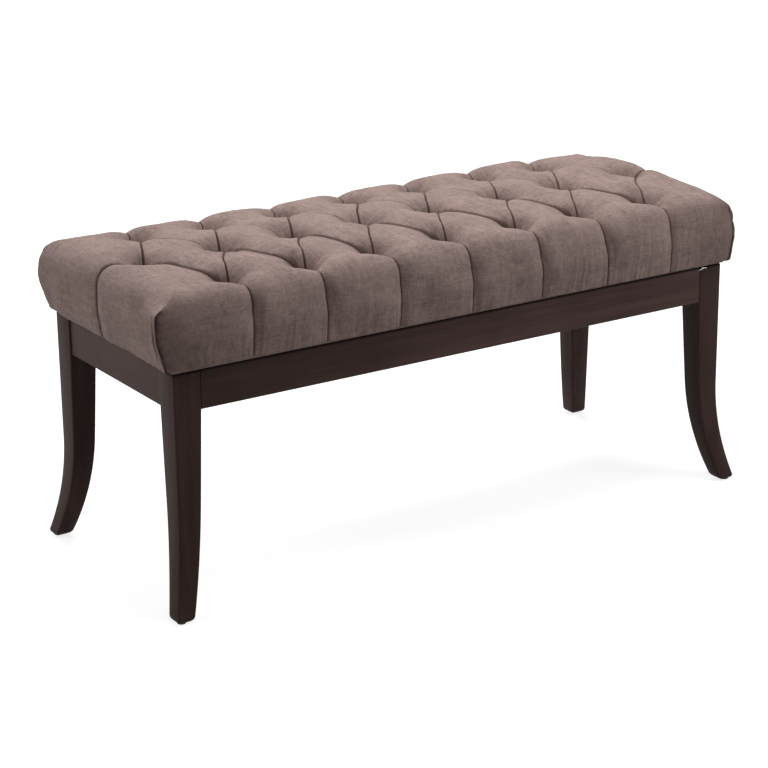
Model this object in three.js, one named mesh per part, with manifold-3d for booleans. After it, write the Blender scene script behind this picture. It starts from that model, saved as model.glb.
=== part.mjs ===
// Upholstered bench: a diamond-tufted cushion on a hardwood frame with four sabre legs.
// Millimetres, +Z up. X runs along the bench and -Y is its front.
// The origin is on the floor, under the middle of the seat.

import * as THREE from "three";
import { mergeVertices } from "three/addons/utils/BufferGeometryUtils.js";
import Module from "manifold-3d";

const wasm = await Module();
wasm.setup();

// Frame
const frameLength = 960; // over the legs, along X
const frameWidth = 361.5; // over the legs, along Y
const frameTop = 354; // top of legs and aprons above the floor
const apronHeight = 57;
const apronThickness = 22;
const longApronSetback = 0.4; // behind the outer faces of the legs
const endApronSetback = 3;
const apronArris = 1.5; // rounding of an apron's long edges
const jointGap = 0.3; // between pieces that seat on each other
const tenonLength = 18;
const tenonThickness = 10;
const tenonShoulder = 8; // above and below the tenon

// Sabre legs
const legTopSide = 42; // square section beside the aprons
const legFootSide = 27; // square section at the floor
const taperPower = 0.8; // how late the taper gathers towards the floor
const sweepHeight = 163; // the outer faces turn outwards below this height
const sweepLength = 24.5; // how far a foot stands out along X
const sweepWidth = 29.4; // how far a foot stands out along Y
const sweepPower = 2.05;
const legArris = 3; // rounding of the long edges
const footArris = 7; // rounding around the sole
const topChamfer = 1;
const sweepSteps = 12;
const shankSteps = 4;
const arrisSteps = 2;
const soleSteps = 3;

// Glides
const glideHeight = 2;
const glideRadius = 6.5;
const glideNailRadius = 1.5;
const glideNailLength = 12;
const glideRim = 0.6;

// Corner blocks and their hardware
const blockThickness = 22;
const blockHeight = 45;
const boltRadius = 3;
const boltBite = 20; // length of the bolt inside the leg
const boltTip = 4; // length of the bolt past its nut
const nutAcross = 10;
const nutHeight = 6;
const nutFlangeRadius = 8;
const nutFlangeHeight = 1.5;
const screwRadius = 2.2;
const screwHeadRadius = 4.5;
const screwHeadHeight = 2.6;
const screwBite = 8; // length of the screw inside the seat board
const screwPointLength = 4;
const screwOffset = 22; // from the bolt, along the block

// Cross slats under the seat
const slatWidth = 36;
const slatThickness = 18;
const slatHousing = 8; // depth of its seat in the apron
const slatPlaceShare = 0.75; // place along X, as a share of the tuft spacing

// Seat board and foam
const boardOverhang = 2; // past the outer faces of the legs
const boardThickness = 12;
const boardCorner = 14;
const foamSetback = 2;
const foamThickness = 43;

// Cover and wadding
const flapThickness = 1.2; // cover turned in under the board
const flapWidth = 24;
const wrapThickness = 9; // cover and wadding beside the board's edge
const hemDraw = 8; // how far the hem is drawn in from the widest line
const hemRoll = 4.5; // rounding at the hem
const paddingHeight = 61; // from the foam up to the crest of the rim
const crownRise = 4; // extra height of the crest in the middle
const shoulderRadius = 36;
const shoulderSteps = 2;
const faceSteps = 2;
const cornerShare = 0.86; // how far a corner reaches out, against a sharp corner

// Tufts
const middleTuftCount = 8; // the outer rows hold one less
const endTuftInset = 71; // from the widest end to the last tuft
const rowInset = 75.5; // from the widest side to the outer row of tufts
const pitCover = 14; // padding left above the foam at the bottom of a tuft
const pitReach = 74;
const pitPower = 2.7;
const pleatDepth = 10;
const facePleatDepth = 6;
const pleatReach = 32;
const pleatPower = 2;
const tuftColumnShares = [0, 0.25, 0.75];
const stripRowShares = [0, 0.16, 0.5, 1];
const diamondSteps = 4;

// Tuft ties
const tieRadius = 1.5;
const tieHeadRadius = 6;
const tieHeadThickness = 2;
const tieAnchorRadius = 8;
const tieAnchorThickness = 2.5;
const tieHoleClearance = 1.5;
const recessClearance = 0.3;

// Dust cover
const dustCoverThickness = 0.8;

// Faces around round pieces
const holeSides = 8;
const tieSides = 6;
const roundSides = 12;
const cornerSides = 3;
const overrun = 5; // how far a cutting tool passes through

// Places worked out from the sizes above
const halfLength = frameLength / 2;
const halfWidth = frameWidth / 2;
const apronBottom = frameTop - apronHeight;
const longApronFace = halfWidth - longApronSetback;
const longApronBack = longApronFace - apronThickness;
const endApronFace = halfLength - endApronSetback;
const endApronBack = endApronFace - apronThickness;
const legInnerX = halfLength - legTopSide;
const legInnerY = halfWidth - legTopSide;
const flapBottom = frameTop + jointGap;
const boardBottom = flapBottom + flapThickness + jointGap;
const boardTop = boardBottom + boardThickness;
const foamBottom = boardTop + jointGap;
const foamTop = foamBottom + foamThickness;
const coverCrest = foamTop + jointGap + paddingHeight;
const boardHalfLength = halfLength + boardOverhang;
const boardHalfWidth = halfWidth + boardOverhang;
const hemHalfLength = boardHalfLength + jointGap + wrapThickness;
const hemHalfWidth = boardHalfWidth + jointGap + wrapThickness;
const rimHalfLength = hemHalfLength + hemDraw - shoulderRadius;
const rimHalfWidth = hemHalfWidth + hemDraw - shoulderRadius;
const lastTuftX = hemHalfLength + hemDraw - endTuftInset;
const tuftSpacing = (2 * lastTuftX) / (middleTuftCount - 1);
const rowSpacing = hemHalfWidth + hemDraw - rowInset;
const pitDepth = paddingHeight - pitCover;
const blockTop = frameTop - jointGap;
const blockBottom = blockTop - blockHeight;
const boltHeight = (blockTop + blockBottom) / 2;
const slatX = tuftSpacing * slatPlaceShare;

const wood = new THREE.MeshStandardMaterial({ color: 0x3a2e2b, roughness: 0.45, metalness: 0 });
const paleWood = new THREE.MeshStandardMaterial({ color: 0xb08d62, roughness: 0.8, metalness: 0 });
const plywood = new THREE.MeshStandardMaterial({ color: 0xc3a477, roughness: 0.8, metalness: 0 });
const fabric = new THREE.MeshStandardMaterial({ color: 0x8a7870, roughness: 0.95, metalness: 0 });
const foam = new THREE.MeshStandardMaterial({ color: 0xe6dfc2, roughness: 1, metalness: 0 });
const blackCloth = new THREE.MeshStandardMaterial({ color: 0x151515, roughness: 1, metalness: 0 });
const twine = new THREE.MeshStandardMaterial({ color: 0xdcd8cc, roughness: 0.7, metalness: 0 });
const steel = new THREE.MeshStandardMaterial({ color: 0xb4b4b6, roughness: 0.35, metalness: 1 });
const plastic = new THREE.MeshStandardMaterial({ color: 0x1c1a19, roughness: 0.5, metalness: 0 });

const bench = new THREE.Group();
bench.name = "upholstered_bench";

function addPart(name, geometry, material) {
  const mesh = new THREE.Mesh(geometry, material);
  mesh.name = name;
  bench.add(mesh);
  return mesh;
}

// Joining and cutting

function solidOf(geometry) {
  const bare = new THREE.BufferGeometry();
  bare.setAttribute("position", geometry.getAttribute("position"));
  bare.setIndex(geometry.index);
  const merged = mergeVertices(bare);
  return new wasm.Manifold(
    new wasm.Mesh({
      numProp: 3,
      vertProperties: new Float32Array(merged.getAttribute("position").array),
      triVerts: new Uint32Array(merged.index.array),
    }),
  );
}

function geometryOf(solid) {
  const mesh = solid.getMesh();
  const geometry = new THREE.BufferGeometry();
  geometry.setAttribute("position", new THREE.BufferAttribute(mesh.vertProperties, 3));
  geometry.setIndex(new THREE.BufferAttribute(mesh.triVerts, 1));
  return geometry;
}

function cut(body, tools) {
  return geometryOf(tools.reduce((solid, tool) => solid.subtract(solidOf(tool)), solidOf(body)));
}

function join(body, additions) {
  return geometryOf(additions.reduce((solid, more) => solid.add(solidOf(more)), solidOf(body)));
}

// Common shapes

function box(low, high) {
  const size = high.clone().sub(low);
  const middle = low.clone().add(high).multiplyScalar(1 / 2);
  return new THREE.BoxGeometry(size.x, size.y, size.z).translate(middle.x, middle.y, middle.z);
}

// A box whose corners may be given in any order, for pieces that are mirrored by a sign.
function boxBetween(a, b) {
  return box(a.clone().min(b), a.clone().max(b));
}

// An upright rod from one height to another.
function uprightRod(x, y, bottom, top, radius, sides) {
  const rod = new THREE.CylinderGeometry(radius, radius, top - bottom, sides);
  return rod.rotateX(Math.PI / 2).translate(x, y, (top + bottom) / 2);
}

function roundedRectangle(halfX, halfY, radius) {
  const shape = new THREE.Shape();
  const quarter = Math.PI / 2;
  shape.absarc(halfX - radius, -halfY + radius, radius, -quarter, 0);
  shape.absarc(halfX - radius, halfY - radius, radius, 0, quarter);
  shape.absarc(-halfX + radius, halfY - radius, radius, quarter, 2 * quarter);
  shape.absarc(-halfX + radius, -halfY + radius, radius, 2 * quarter, 3 * quarter);
  return shape;
}

// A flat piece lying between two heights.
function slab(shape, bottom, top) {
  const geometry = new THREE.ExtrudeGeometry(shape, {
    depth: top - bottom,
    bevelEnabled: false,
    curveSegments: cornerSides,
  });
  return geometry.translate(0, 0, bottom);
}

// A closed skin over rings of points that run anticlockwise seen from the end of the list.
function loft(rings, mirrored) {
  const count = rings[0].length;
  const positions = rings.flat().flatMap((point) => [point.x, point.y, point.z]);
  const faces = [];
  for (let ring = 0; ring + 1 < rings.length; ring += 1) {
    for (let i = 0; i < count; i += 1) {
      const next = (i + 1) % count;
      const lower = ring * count;
      const upper = lower + count;
      faces.push([lower + i, lower + next, upper + next], [lower + i, upper + next, upper + i]);
    }
  }
  const last = (rings.length - 1) * count;
  for (let i = 1; i + 1 < count; i += 1) {
    faces.push([0, i + 1, i], [last, last + i, last + i + 1]);
  }
  const geometry = new THREE.BufferGeometry();
  geometry.setAttribute("position", new THREE.Float32BufferAttribute(positions, 3));
  geometry.setIndex((mirrored ? faces.map(([a, b, c]) => [a, c, b]) : faces).flat());
  return geometry;
}

// Corners of the frame, each with its signs along X and Y.
const corners = [
  { name: "front_left", signX: -1, signY: -1 },
  { name: "front_right", signX: 1, signY: -1 },
  { name: "rear_left", signX: -1, signY: 1 },
  { name: "rear_right", signX: 1, signY: 1 },
];

// Joinery shared by legs and aprons

// The tenon of a long apron where it enters a leg, grown by a clearance for the mortise.
function longTenon(signX, signY, clearance) {
  const middle = longApronFace - apronThickness / 2;
  const reach = legInnerX + tenonLength + clearance;
  return boxBetween(
    new THREE.Vector3(
      signX * (legInnerX - overrun),
      signY * (middle - tenonThickness / 2 - clearance),
      apronBottom + tenonShoulder - clearance,
    ),
    new THREE.Vector3(
      signX * reach,
      signY * (middle + tenonThickness / 2 + clearance),
      frameTop - tenonShoulder + clearance,
    ),
  );
}

function endTenon(signX, signY, clearance) {
  const middle = endApronFace - apronThickness / 2;
  const reach = legInnerY + tenonLength + clearance;
  return boxBetween(
    new THREE.Vector3(
      signX * (middle - tenonThickness / 2 - clearance),
      signY * (legInnerY - overrun),
      apronBottom + tenonShoulder - clearance,
    ),
    new THREE.Vector3(
      signX * (middle + tenonThickness / 2 + clearance),
      signY * reach,
      frameTop - tenonShoulder + clearance,
    ),
  );
}

// The diagonal line of a corner's bolt, from a point before the leg's inner corner to one past it.
function diagonalRod(corner, before, past, radius, sides) {
  const outward = new THREE.Vector3(corner.signX, corner.signY, 0).normalize();
  const legCorner = new THREE.Vector3(corner.signX * legInnerX, corner.signY * legInnerY, boltHeight);
  const middle = legCorner.addScaledVector(outward, (past - before) / 2);
  const turn = new THREE.Quaternion().setFromUnitVectors(new THREE.Vector3(0, 1, 0), outward);
  const rod = new THREE.CylinderGeometry(radius, radius, past + before, sides);
  return rod.applyQuaternion(turn).translate(middle.x, middle.y, middle.z);
}

// Legs

// How far the leg's outer corner has swept out at a height, as a share of the whole sweep.
function sweepAt(height) {
  const drop = Math.max(sweepHeight - height, 0) / sweepHeight;
  return Math.pow(drop, sweepPower);
}

function legSideAt(height) {
  const share = Math.pow(Math.min(height / apronBottom, 1), taperPower);
  return legFootSide + (legTopSide - legFootSide) * share;
}

// One level section of a leg: a square with rounded corners, drawn in by an inset.
function legRing(corner, height, inset) {
  const side = legSideAt(height);
  const outerX = halfLength + sweepLength * sweepAt(height);
  const outerY = halfWidth + sweepWidth * sweepAt(height);
  const half = side / 2 - inset;
  const centre = new THREE.Vector2(outerX - side / 2, outerY - side / 2);
  const radius = Math.min(legArris, half / 2);
  const ring = [];
  for (let quarter = 0; quarter < 4; quarter += 1) {
    const signU = quarter === 0 || quarter === 3 ? 1 : -1;
    const signV = quarter < 2 ? 1 : -1;
    for (let step = 0; step <= arrisSteps; step += 1) {
      const angle = (quarter + step / arrisSteps) * (Math.PI / 2);
      const u = centre.x + signU * (half - radius) + radius * Math.cos(angle);
      const v = centre.y + signV * (half - radius) + radius * Math.sin(angle);
      ring.push(new THREE.Vector3(corner.signX * u, corner.signY * v, height));
    }
  }
  return ring;
}

function legGeometry(corner) {
  const rings = [];
  for (let step = 0; step < soleSteps; step += 1) {
    const angle = (step / soleSteps) * (Math.PI / 2);
    const rise = footArris * (1 - Math.cos(angle));
    rings.push(legRing(corner, glideHeight + rise, footArris * (1 - Math.sin(angle))));
  }
  const sweepStart = glideHeight + footArris;
  for (let step = 0; step < sweepSteps; step += 1) {
    rings.push(legRing(corner, sweepStart + (sweepHeight - sweepStart) * (step / sweepSteps), 0));
  }
  for (let step = 0; step <= shankSteps; step += 1) {
    rings.push(legRing(corner, sweepHeight + (apronBottom - sweepHeight) * (step / shankSteps), 0));
  }
  rings.push(legRing(corner, frameTop - topChamfer, 0), legRing(corner, frameTop, topChamfer));
  const body = loft(rings, corner.signX * corner.signY < 0);
  const foot = footCentre(corner);
  return cut(body, [
    longTenon(corner.signX, corner.signY, jointGap),
    endTenon(corner.signX, corner.signY, jointGap),
    diagonalRod(corner, overrun, boltBite + jointGap, boltRadius + jointGap, holeSides),
    uprightRod(
      foot.x,
      foot.y,
      glideHeight - overrun,
      glideHeight + glideNailLength + jointGap,
      glideNailRadius + jointGap,
      holeSides,
    ),
  ]);
}

function footCentre(corner) {
  const side = legSideAt(glideHeight);
  const x = halfLength + sweepLength * sweepAt(glideHeight) - side / 2;
  const y = halfWidth + sweepWidth * sweepAt(glideHeight) - side / 2;
  return new THREE.Vector2(corner.signX * x, corner.signY * y);
}

// A nail-on glide: a shallow button under the foot, with its nail up inside the leg.
function glideGeometry(corner) {
  const foot = footCentre(corner);
  const profile = [
    new THREE.Vector2(0, 0),
    new THREE.Vector2(glideRadius - glideRim, 0),
    new THREE.Vector2(glideRadius, glideRim),
    new THREE.Vector2(glideRadius, glideHeight - jointGap),
    new THREE.Vector2(glideNailRadius, glideHeight - jointGap),
    new THREE.Vector2(glideNailRadius, glideHeight + glideNailLength - 2 * glideNailRadius),
    new THREE.Vector2(0, glideHeight + glideNailLength),
  ];
  const turned = new THREE.LatheGeometry(profile, roundSides);
  return turned.rotateX(Math.PI / 2).translate(foot.x, foot.y, 0);
}

// Aprons

// A bar with rounded long edges that runs along X, centred on the given line.
function apronBar(length) {
  const section = roundedRectangle(apronThickness / 2, apronHeight / 2, apronArris);
  const bar = new THREE.ExtrudeGeometry(section, {
    depth: length,
    bevelEnabled: false,
    curveSegments: cornerSides,
  });
  bar.translate(0, 0, -length / 2);
  return bar.rotateX(Math.PI / 2).rotateZ(Math.PI / 2);
}

function slatHousingTool(signX, signY) {
  const low = frameTop - slatThickness - jointGap;
  return boxBetween(
    new THREE.Vector3(
      signX * slatX - slatWidth / 2 - jointGap,
      signY * (longApronBack - overrun),
      low,
    ),
    new THREE.Vector3(
      signX * slatX + slatWidth / 2 + jointGap,
      signY * (longApronBack + slatHousing + jointGap),
      frameTop + overrun,
    ),
  );
}

function longApronGeometry(signY) {
  const middleY = signY * (longApronFace - apronThickness / 2);
  const bar = apronBar(2 * (legInnerX - jointGap)).translate(0, middleY, apronBottom + apronHeight / 2);
  const tenons = [-1, 1].map((signX) => longTenon(signX, signY, 0));
  return cut(
    join(bar, tenons),
    [-1, 1].map((signX) => slatHousingTool(signX, signY)),
  );
}

function endApronGeometry(signX) {
  const middleX = signX * (endApronFace - apronThickness / 2);
  const bar = apronBar(2 * (legInnerY - jointGap)).rotateZ(Math.PI / 2);
  bar.translate(middleX, 0, apronBottom + apronHeight / 2);
  return join(
    bar,
    [-1, 1].map((signY) => endTenon(signX, signY, 0)),
  );
}

function slatGeometry(signX) {
  const reach = longApronBack + slatHousing;
  return box(
    new THREE.Vector3(signX * slatX - slatWidth / 2, -reach, frameTop - slatThickness),
    new THREE.Vector3(signX * slatX + slatWidth / 2, reach, frameTop),
  );
}

// Corner blocks

// Where a corner's seat screw stands.
function screwPlace(corner) {
  const inward = (jointGap + blockThickness / 2) / Math.SQRT2;
  const along = screwOffset / Math.SQRT2;
  const x = corner.signX * (legInnerX - inward - along);
  const y = corner.signY * (legInnerY - inward + along);
  return new THREE.Vector2(x, y);
}

// A block set across the corner: its ends lie on both aprons and its long face meets the leg.
function cornerBlockGeometry(corner) {
  const endFace = endApronBack - jointGap;
  const longFace = longApronBack - jointGap;
  const nearLeg = legInnerX + legInnerY - jointGap * Math.SQRT2;
  const farFromLeg = nearLeg - blockThickness * Math.SQRT2;
  const outline = [
    new THREE.Vector2(nearLeg - longFace, longFace),
    new THREE.Vector2(endFace, nearLeg - endFace),
    new THREE.Vector2(endFace, farFromLeg - endFace),
    new THREE.Vector2(farFromLeg - longFace, longFace),
  ].map((point) => new THREE.Vector2(corner.signX * point.x, corner.signY * point.y));
  const block = slab(new THREE.Shape(outline), blockBottom, blockTop);
  const screw = screwPlace(corner);
  const screwHole = uprightRod(
    screw.x,
    screw.y,
    blockBottom - overrun,
    blockTop + overrun,
    screwRadius + jointGap,
    holeSides,
  );
  const boltHole = diagonalRod(
    corner,
    jointGap + blockThickness + overrun,
    overrun,
    boltRadius + jointGap,
    holeSides,
  );
  return cut(block, [screwHole, boltHole]);
}

function hangerBoltGeometry(corner) {
  const before = jointGap + blockThickness + jointGap + nutHeight + boltTip;
  return diagonalRod(corner, before, boltBite, boltRadius, holeSides);
}

// A hexagon nut with its washer face, threaded on the bolt against the block.
function flangeNutGeometry(corner) {
  const boltHole = () => {
    const hole = new THREE.Path();
    return hole.absarc(0, 0, boltRadius + jointGap, 0, 2 * Math.PI, true);
  };
  const disc = new THREE.Shape();
  disc.absarc(0, 0, nutFlangeRadius, 0, 2 * Math.PI);
  disc.holes.push(boltHole());
  const flange = new THREE.ExtrudeGeometry(disc, {
    depth: nutFlangeHeight,
    bevelEnabled: false,
    curveSegments: roundSides / 2,
  });
  const hexagon = new THREE.Shape(
    Array.from({ length: 6 }, (_, side) => {
      const radius = nutAcross / Math.sqrt(3);
      const angle = (side * Math.PI) / 3;
      return new THREE.Vector2(radius * Math.cos(angle), radius * Math.sin(angle));
    }),
  );
  hexagon.holes.push(boltHole());
  const body = new THREE.ExtrudeGeometry(hexagon, {
    depth: nutHeight,
    bevelEnabled: false,
    curveSegments: roundSides / 2,
  });
  return join(flange, [body]);
}

function placeOnBolt(mesh, corner) {
  const inward = new THREE.Vector3(-corner.signX, -corner.signY, 0).normalize();
  mesh.quaternion.setFromUnitVectors(new THREE.Vector3(0, 0, 1), inward);
  mesh.position.set(corner.signX * legInnerX, corner.signY * legInnerY, boltHeight);
  mesh.position.addScaledVector(inward, jointGap + blockThickness + jointGap);
}

// A pan-head screw that stands on its head, up through the block into the seat board.
function seatScrewGeometry(corner) {
  const place = screwPlace(corner);
  const headTop = blockBottom - jointGap;
  const tip = boardBottom + screwBite;
  const profile = [
    new THREE.Vector2(0, headTop - screwHeadHeight),
    new THREE.Vector2(screwHeadRadius / 2, headTop - screwHeadHeight),
    new THREE.Vector2(screwHeadRadius, headTop - screwHeadHeight / 2),
    new THREE.Vector2(screwHeadRadius, headTop),
    new THREE.Vector2(screwRadius, headTop),
    new THREE.Vector2(screwRadius, tip - screwPointLength),
    new THREE.Vector2(0, tip),
  ];
  const turned = new THREE.LatheGeometry(profile, holeSides);
  return turned.rotateX(Math.PI / 2).translate(place.x, place.y, 0);
}

// Tufts

// Every tuft in plan: the middle row holds the most, the outer rows stand between them.
const tufts = [];
for (const row of [-1, 0, 1]) {
  const count = row === 0 ? middleTuftCount : middleTuftCount - 1;
  for (let i = 0; i < count; i += 1) {
    const x = (i - (count - 1) / 2) * tuftSpacing;
    tufts.push({ row, number: i + 1, place: new THREE.Vector2(x, row * rowSpacing) });
  }
}

// The pleats that join the tufts: diagonals between rows, and one from each outer tuft to the hem.
const farOut = 2 * (hemHalfLength + coverCrest);
const pleats = [];
for (const tuft of tufts.filter((each) => each.row !== 0)) {
  for (const neighbour of tufts.filter((each) => each.row === 0)) {
    if (Math.abs(neighbour.place.x - tuft.place.x) < tuftSpacing) {
      pleats.push([tuft.place, neighbour.place]);
    }
  }
  pleats.push([tuft.place, new THREE.Vector2(tuft.place.x, tuft.row * farOut)]);
}
for (const sign of [-1, 1]) {
  pleats.push([new THREE.Vector2(sign * lastTuftX, 0), new THREE.Vector2(sign * farOut, 0)]);
}

function distanceToPleat(point) {
  const nearest = pleats.map(([start, end]) => {
    const along = end.clone().sub(start);
    const share = point.clone().sub(start).dot(along) / along.lengthSq();
    const foot = start.clone().addScaledVector(along, Math.min(Math.max(share, 0), 1));
    return foot.distanceTo(point);
  });
  return Math.min(...nearest);
}

function distanceToTuft(point) {
  return Math.min(...tufts.map((tuft) => tuft.place.distanceTo(point)));
}

// Full on a pleat or tuft, fading to nothing at its reach.
function fade(distance, reach, power) {
  return Math.pow(1 - Math.min(distance / reach, 1), power);
}

// How far the cover lies below its smooth envelope. The point is in plan, with the sides folded
// flat, and lean is 0 on top and 1 on the upright sides.
function reliefAt(point, lean) {
  const depth = pleatDepth + (facePleatDepth - pleatDepth) * lean;
  const pleat = depth * fade(distanceToPleat(point), pleatReach, pleatPower);
  const pit = pitDepth * fade(distanceToTuft(point), pitReach, pitPower);
  return pleat + pit - (pleat * pit) / pitDepth;
}

// Cover

function crestAt(x, y) {
  const middleX = 1 - Math.pow(x / rimHalfLength, 2);
  const middleY = 1 - Math.pow(y / rimHalfWidth, 2);
  return coverCrest + crownRise * middleX * middleY;
}

function topPoint(x, y) {
  return new THREE.Vector3(x, y, crestAt(x, y) - reliefAt(new THREE.Vector2(x, y), 0));
}

// How far the zigzag of pleats between the rows lies from the middle line at a place along X.
function zigzagAt(x) {
  if (Math.abs(x) >= lastTuftX) return 0;
  const fromMiddleTuft = Math.abs((x + lastTuftX) / tuftSpacing - Math.round((x + lastTuftX) / tuftSpacing));
  return 2 * fromMiddleTuft * rowSpacing;
}

// Columns along X follow the tufts, so that every pleat is an edge of the skin.
function coverColumns() {
  const columns = [-rimHalfLength];
  const pitch = tuftSpacing / 2;
  const spans = 2 * (middleTuftCount - 1);
  for (let span = 0; span < spans; span += 1) {
    for (const share of tuftColumnShares) {
      columns.push(-lastTuftX + (span + share) * pitch);
    }
  }
  columns.push(lastTuftX, rimHalfLength);
  return columns;
}

// Places along Y of one column: front edge, zigzag, back zigzag and back edge.
function coverRows(x) {
  const zigzag = zigzagAt(x);
  const strip = stripRowShares.map((share) => zigzag + (rimHalfWidth - zigzag) * share);
  const rows = strip.map((y) => -y).reverse();
  for (let step = 1; step < diamondSteps; step += 1) {
    rows.push(zigzag * ((2 * step) / diamondSteps - 1));
  }
  return rows.concat(strip);
}

// The rings of the side, from the rim of the top down to the hem.
function sideRings() {
  const rings = [];
  for (let step = 1; step <= shoulderSteps; step += 1) {
    const angle = (step / shoulderSteps) * (Math.PI / 2);
    const out = shoulderRadius * Math.sin(angle);
    const height = coverCrest - shoulderRadius * (1 - Math.cos(angle));
    rings.push({ out, height, lean: Math.sin(angle) });
  }
  const faceTop = coverCrest - shoulderRadius;
  const faceBottom = flapBottom + hemRoll;
  for (let step = 1; step <= faceSteps; step += 1) {
    const share = step / faceSteps;
    const out = shoulderRadius - hemDraw * share * share;
    rings.push({ out, height: faceTop + (faceBottom - faceTop) * share, lean: 1 });
  }
  rings.push({ out: shoulderRadius - hemDraw - hemRoll, height: flapBottom, lean: 1 });
  return rings;
}

// The closed body of the cover before its pockets are cut.
function coverBody() {
  const positions = [];
  const faces = [];
  const numbers = new Map();

  function vertex(point) {
    const key = [point.x, point.y, point.z].map((value) => value.toFixed(3)).join(" ");
    if (!numbers.has(key)) {
      numbers.set(key, positions.length / 3);
      positions.push(point.x, point.y, point.z);
    }
    return numbers.get(key);
  }

  function triangle(a, b, c) {
    if (a !== b && b !== c && c !== a) faces.push(a, b, c);
  }

  function quad(a, b, c, d) {
    triangle(a, b, c);
    triangle(a, c, d);
  }

  const grid = coverColumns().map((x) => coverRows(x).map((y) => topPoint(x, y)));
  const lastColumn = grid.length - 1;
  const lastRow = grid[0].length - 1;
  for (let i = 0; i < lastColumn; i += 1) {
    for (let j = 0; j < lastRow; j += 1) {
      const cell = [grid[i][j], grid[i + 1][j], grid[i + 1][j + 1], grid[i][j + 1]];
      const shortFirst = cell[0].distanceTo(cell[2]) <= cell[1].distanceTo(cell[3]);
      const turned = shortFirst ? cell : [cell[1], cell[2], cell[3], cell[0]];
      quad(...turned.map(vertex));
    }
  }

  // The rim runs anticlockwise seen from above, and each point knows its way out.
  const rim = [];
  const addRim = (point, outX, outY) => rim.push({ point, outX, outY });
  addRim(grid[0][0], -cornerShare, -cornerShare);
  for (let i = 1; i < lastColumn; i += 1) addRim(grid[i][0], 0, -1);
  addRim(grid[lastColumn][0], cornerShare, -cornerShare);
  for (let j = 1; j < lastRow; j += 1) addRim(grid[lastColumn][j], 1, 0);
  addRim(grid[lastColumn][lastRow], cornerShare, cornerShare);
  for (let i = lastColumn - 1; i > 0; i -= 1) addRim(grid[i][lastRow], 0, 1);
  addRim(grid[0][lastRow], -cornerShare, cornerShare);
  for (let j = lastRow - 1; j > 0; j -= 1) addRim(grid[0][j], -1, 0);

  let upper = rim.map(({ point }) => vertex(point));
  for (const ring of sideRings()) {
    const lower = rim.map(({ point, outX, outY }) => {
      const folded = new THREE.Vector2(point.x + outX * ring.out, point.y + outY * ring.out);
      const relief = reliefAt(folded, ring.lean);
      const out = ring.out - relief * ring.lean;
      const height = ring.height - relief * (1 - ring.lean);
      return vertex(new THREE.Vector3(point.x + outX * out, point.y + outY * out, height));
    });
    for (let i = 0; i < rim.length; i += 1) {
      const next = (i + 1) % rim.length;
      quad(lower[i], lower[next], upper[next], upper[i]);
    }
    upper = lower;
  }

  const middle = vertex(new THREE.Vector3(0, 0, flapBottom));
  for (let i = 0; i < rim.length; i += 1) triangle(middle, upper[(i + 1) % rim.length], upper[i]);

  const geometry = new THREE.BufferGeometry();
  geometry.setAttribute("position", new THREE.Float32BufferAttribute(positions, 3));
  geometry.setIndex(faces);
  return geometry;
}

function boardOutline(growth) {
  return roundedRectangle(boardHalfLength + growth, boardHalfWidth + growth, boardCorner);
}

function foamOutline(growth) {
  return boardOutline(growth - foamSetback);
}

function coverGeometry() {
  const opening = slab(boardOutline(-flapWidth), flapBottom - overrun, boardBottom);
  const boardPocket = slab(boardOutline(jointGap), boardBottom - jointGap, foamBottom);
  const foamPocket = slab(foamOutline(jointGap), boardTop, foamTop + jointGap);
  return cut(coverBody(), [opening, boardPocket, foamPocket]);
}

// Board, foam and ties

function seatBoardGeometry() {
  const board = slab(boardOutline(0), boardBottom, boardTop);
  const tools = tufts.flatMap(({ place }) => [
    uprightRod(
      place.x,
      place.y,
      boardBottom - overrun,
      boardTop + overrun,
      tieRadius + tieHoleClearance,
      tieSides,
    ),
    uprightRod(
      place.x,
      place.y,
      boardBottom - overrun,
      boardBottom + tieAnchorThickness + recessClearance,
      tieAnchorRadius + recessClearance,
      tieSides,
    ),
  ]);
  const screwHoles = corners.map((corner) => {
    const place = screwPlace(corner);
    const depth = boardBottom + screwBite + recessClearance;
    return uprightRod(
      place.x,
      place.y,
      boardBottom - overrun,
      depth,
      screwRadius + recessClearance,
      holeSides,
    );
  });
  return cut(board, tools.concat(screwHoles));
}

function foamGeometry() {
  const block = slab(foamOutline(0), foamBottom, foamTop);
  const tools = tufts.flatMap(({ place }) => [
    uprightRod(
      place.x,
      place.y,
      foamBottom - overrun,
      foamTop + overrun,
      tieRadius + tieHoleClearance,
      tieSides,
    ),
    uprightRod(
      place.x,
      place.y,
      foamTop - tieHeadThickness - recessClearance,
      foamTop + overrun,
      tieHeadRadius + recessClearance,
      tieSides,
    ),
  ]);
  return cut(block, tools);
}

// A tuft tie: its head holds the cover down on the foam and its anchor is pulled in under the board.
function tieGeometry(place) {
  const anchorTop = boardBottom + tieAnchorThickness;
  const headBottom = foamTop - tieHeadThickness;
  const profile = [
    new THREE.Vector2(0, boardBottom),
    new THREE.Vector2(tieAnchorRadius, boardBottom),
    new THREE.Vector2(tieAnchorRadius, anchorTop),
    new THREE.Vector2(tieRadius, anchorTop),
    new THREE.Vector2(tieRadius, headBottom),
    new THREE.Vector2(tieHeadRadius, headBottom),
    new THREE.Vector2(tieHeadRadius, foamTop),
    new THREE.Vector2(0, foamTop),
  ];
  const turned = new THREE.LatheGeometry(profile, tieSides);
  return turned.rotateX(Math.PI / 2).translate(place.x, place.y, 0);
}

// A thin cloth under the board, inside the turned-in cover.
function dustCoverGeometry() {
  const top = boardBottom - jointGap;
  const sheet = slab(boardOutline(-flapWidth - jointGap), top - dustCoverThickness, top);
  const holes = corners.map((corner) => {
    const place = screwPlace(corner);
    return uprightRod(
      place.x,
      place.y,
      top - dustCoverThickness - overrun,
      top + overrun,
      screwRadius + recessClearance,
      holeSides,
    );
  });
  return cut(sheet, holes);
}

// Assembly

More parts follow.
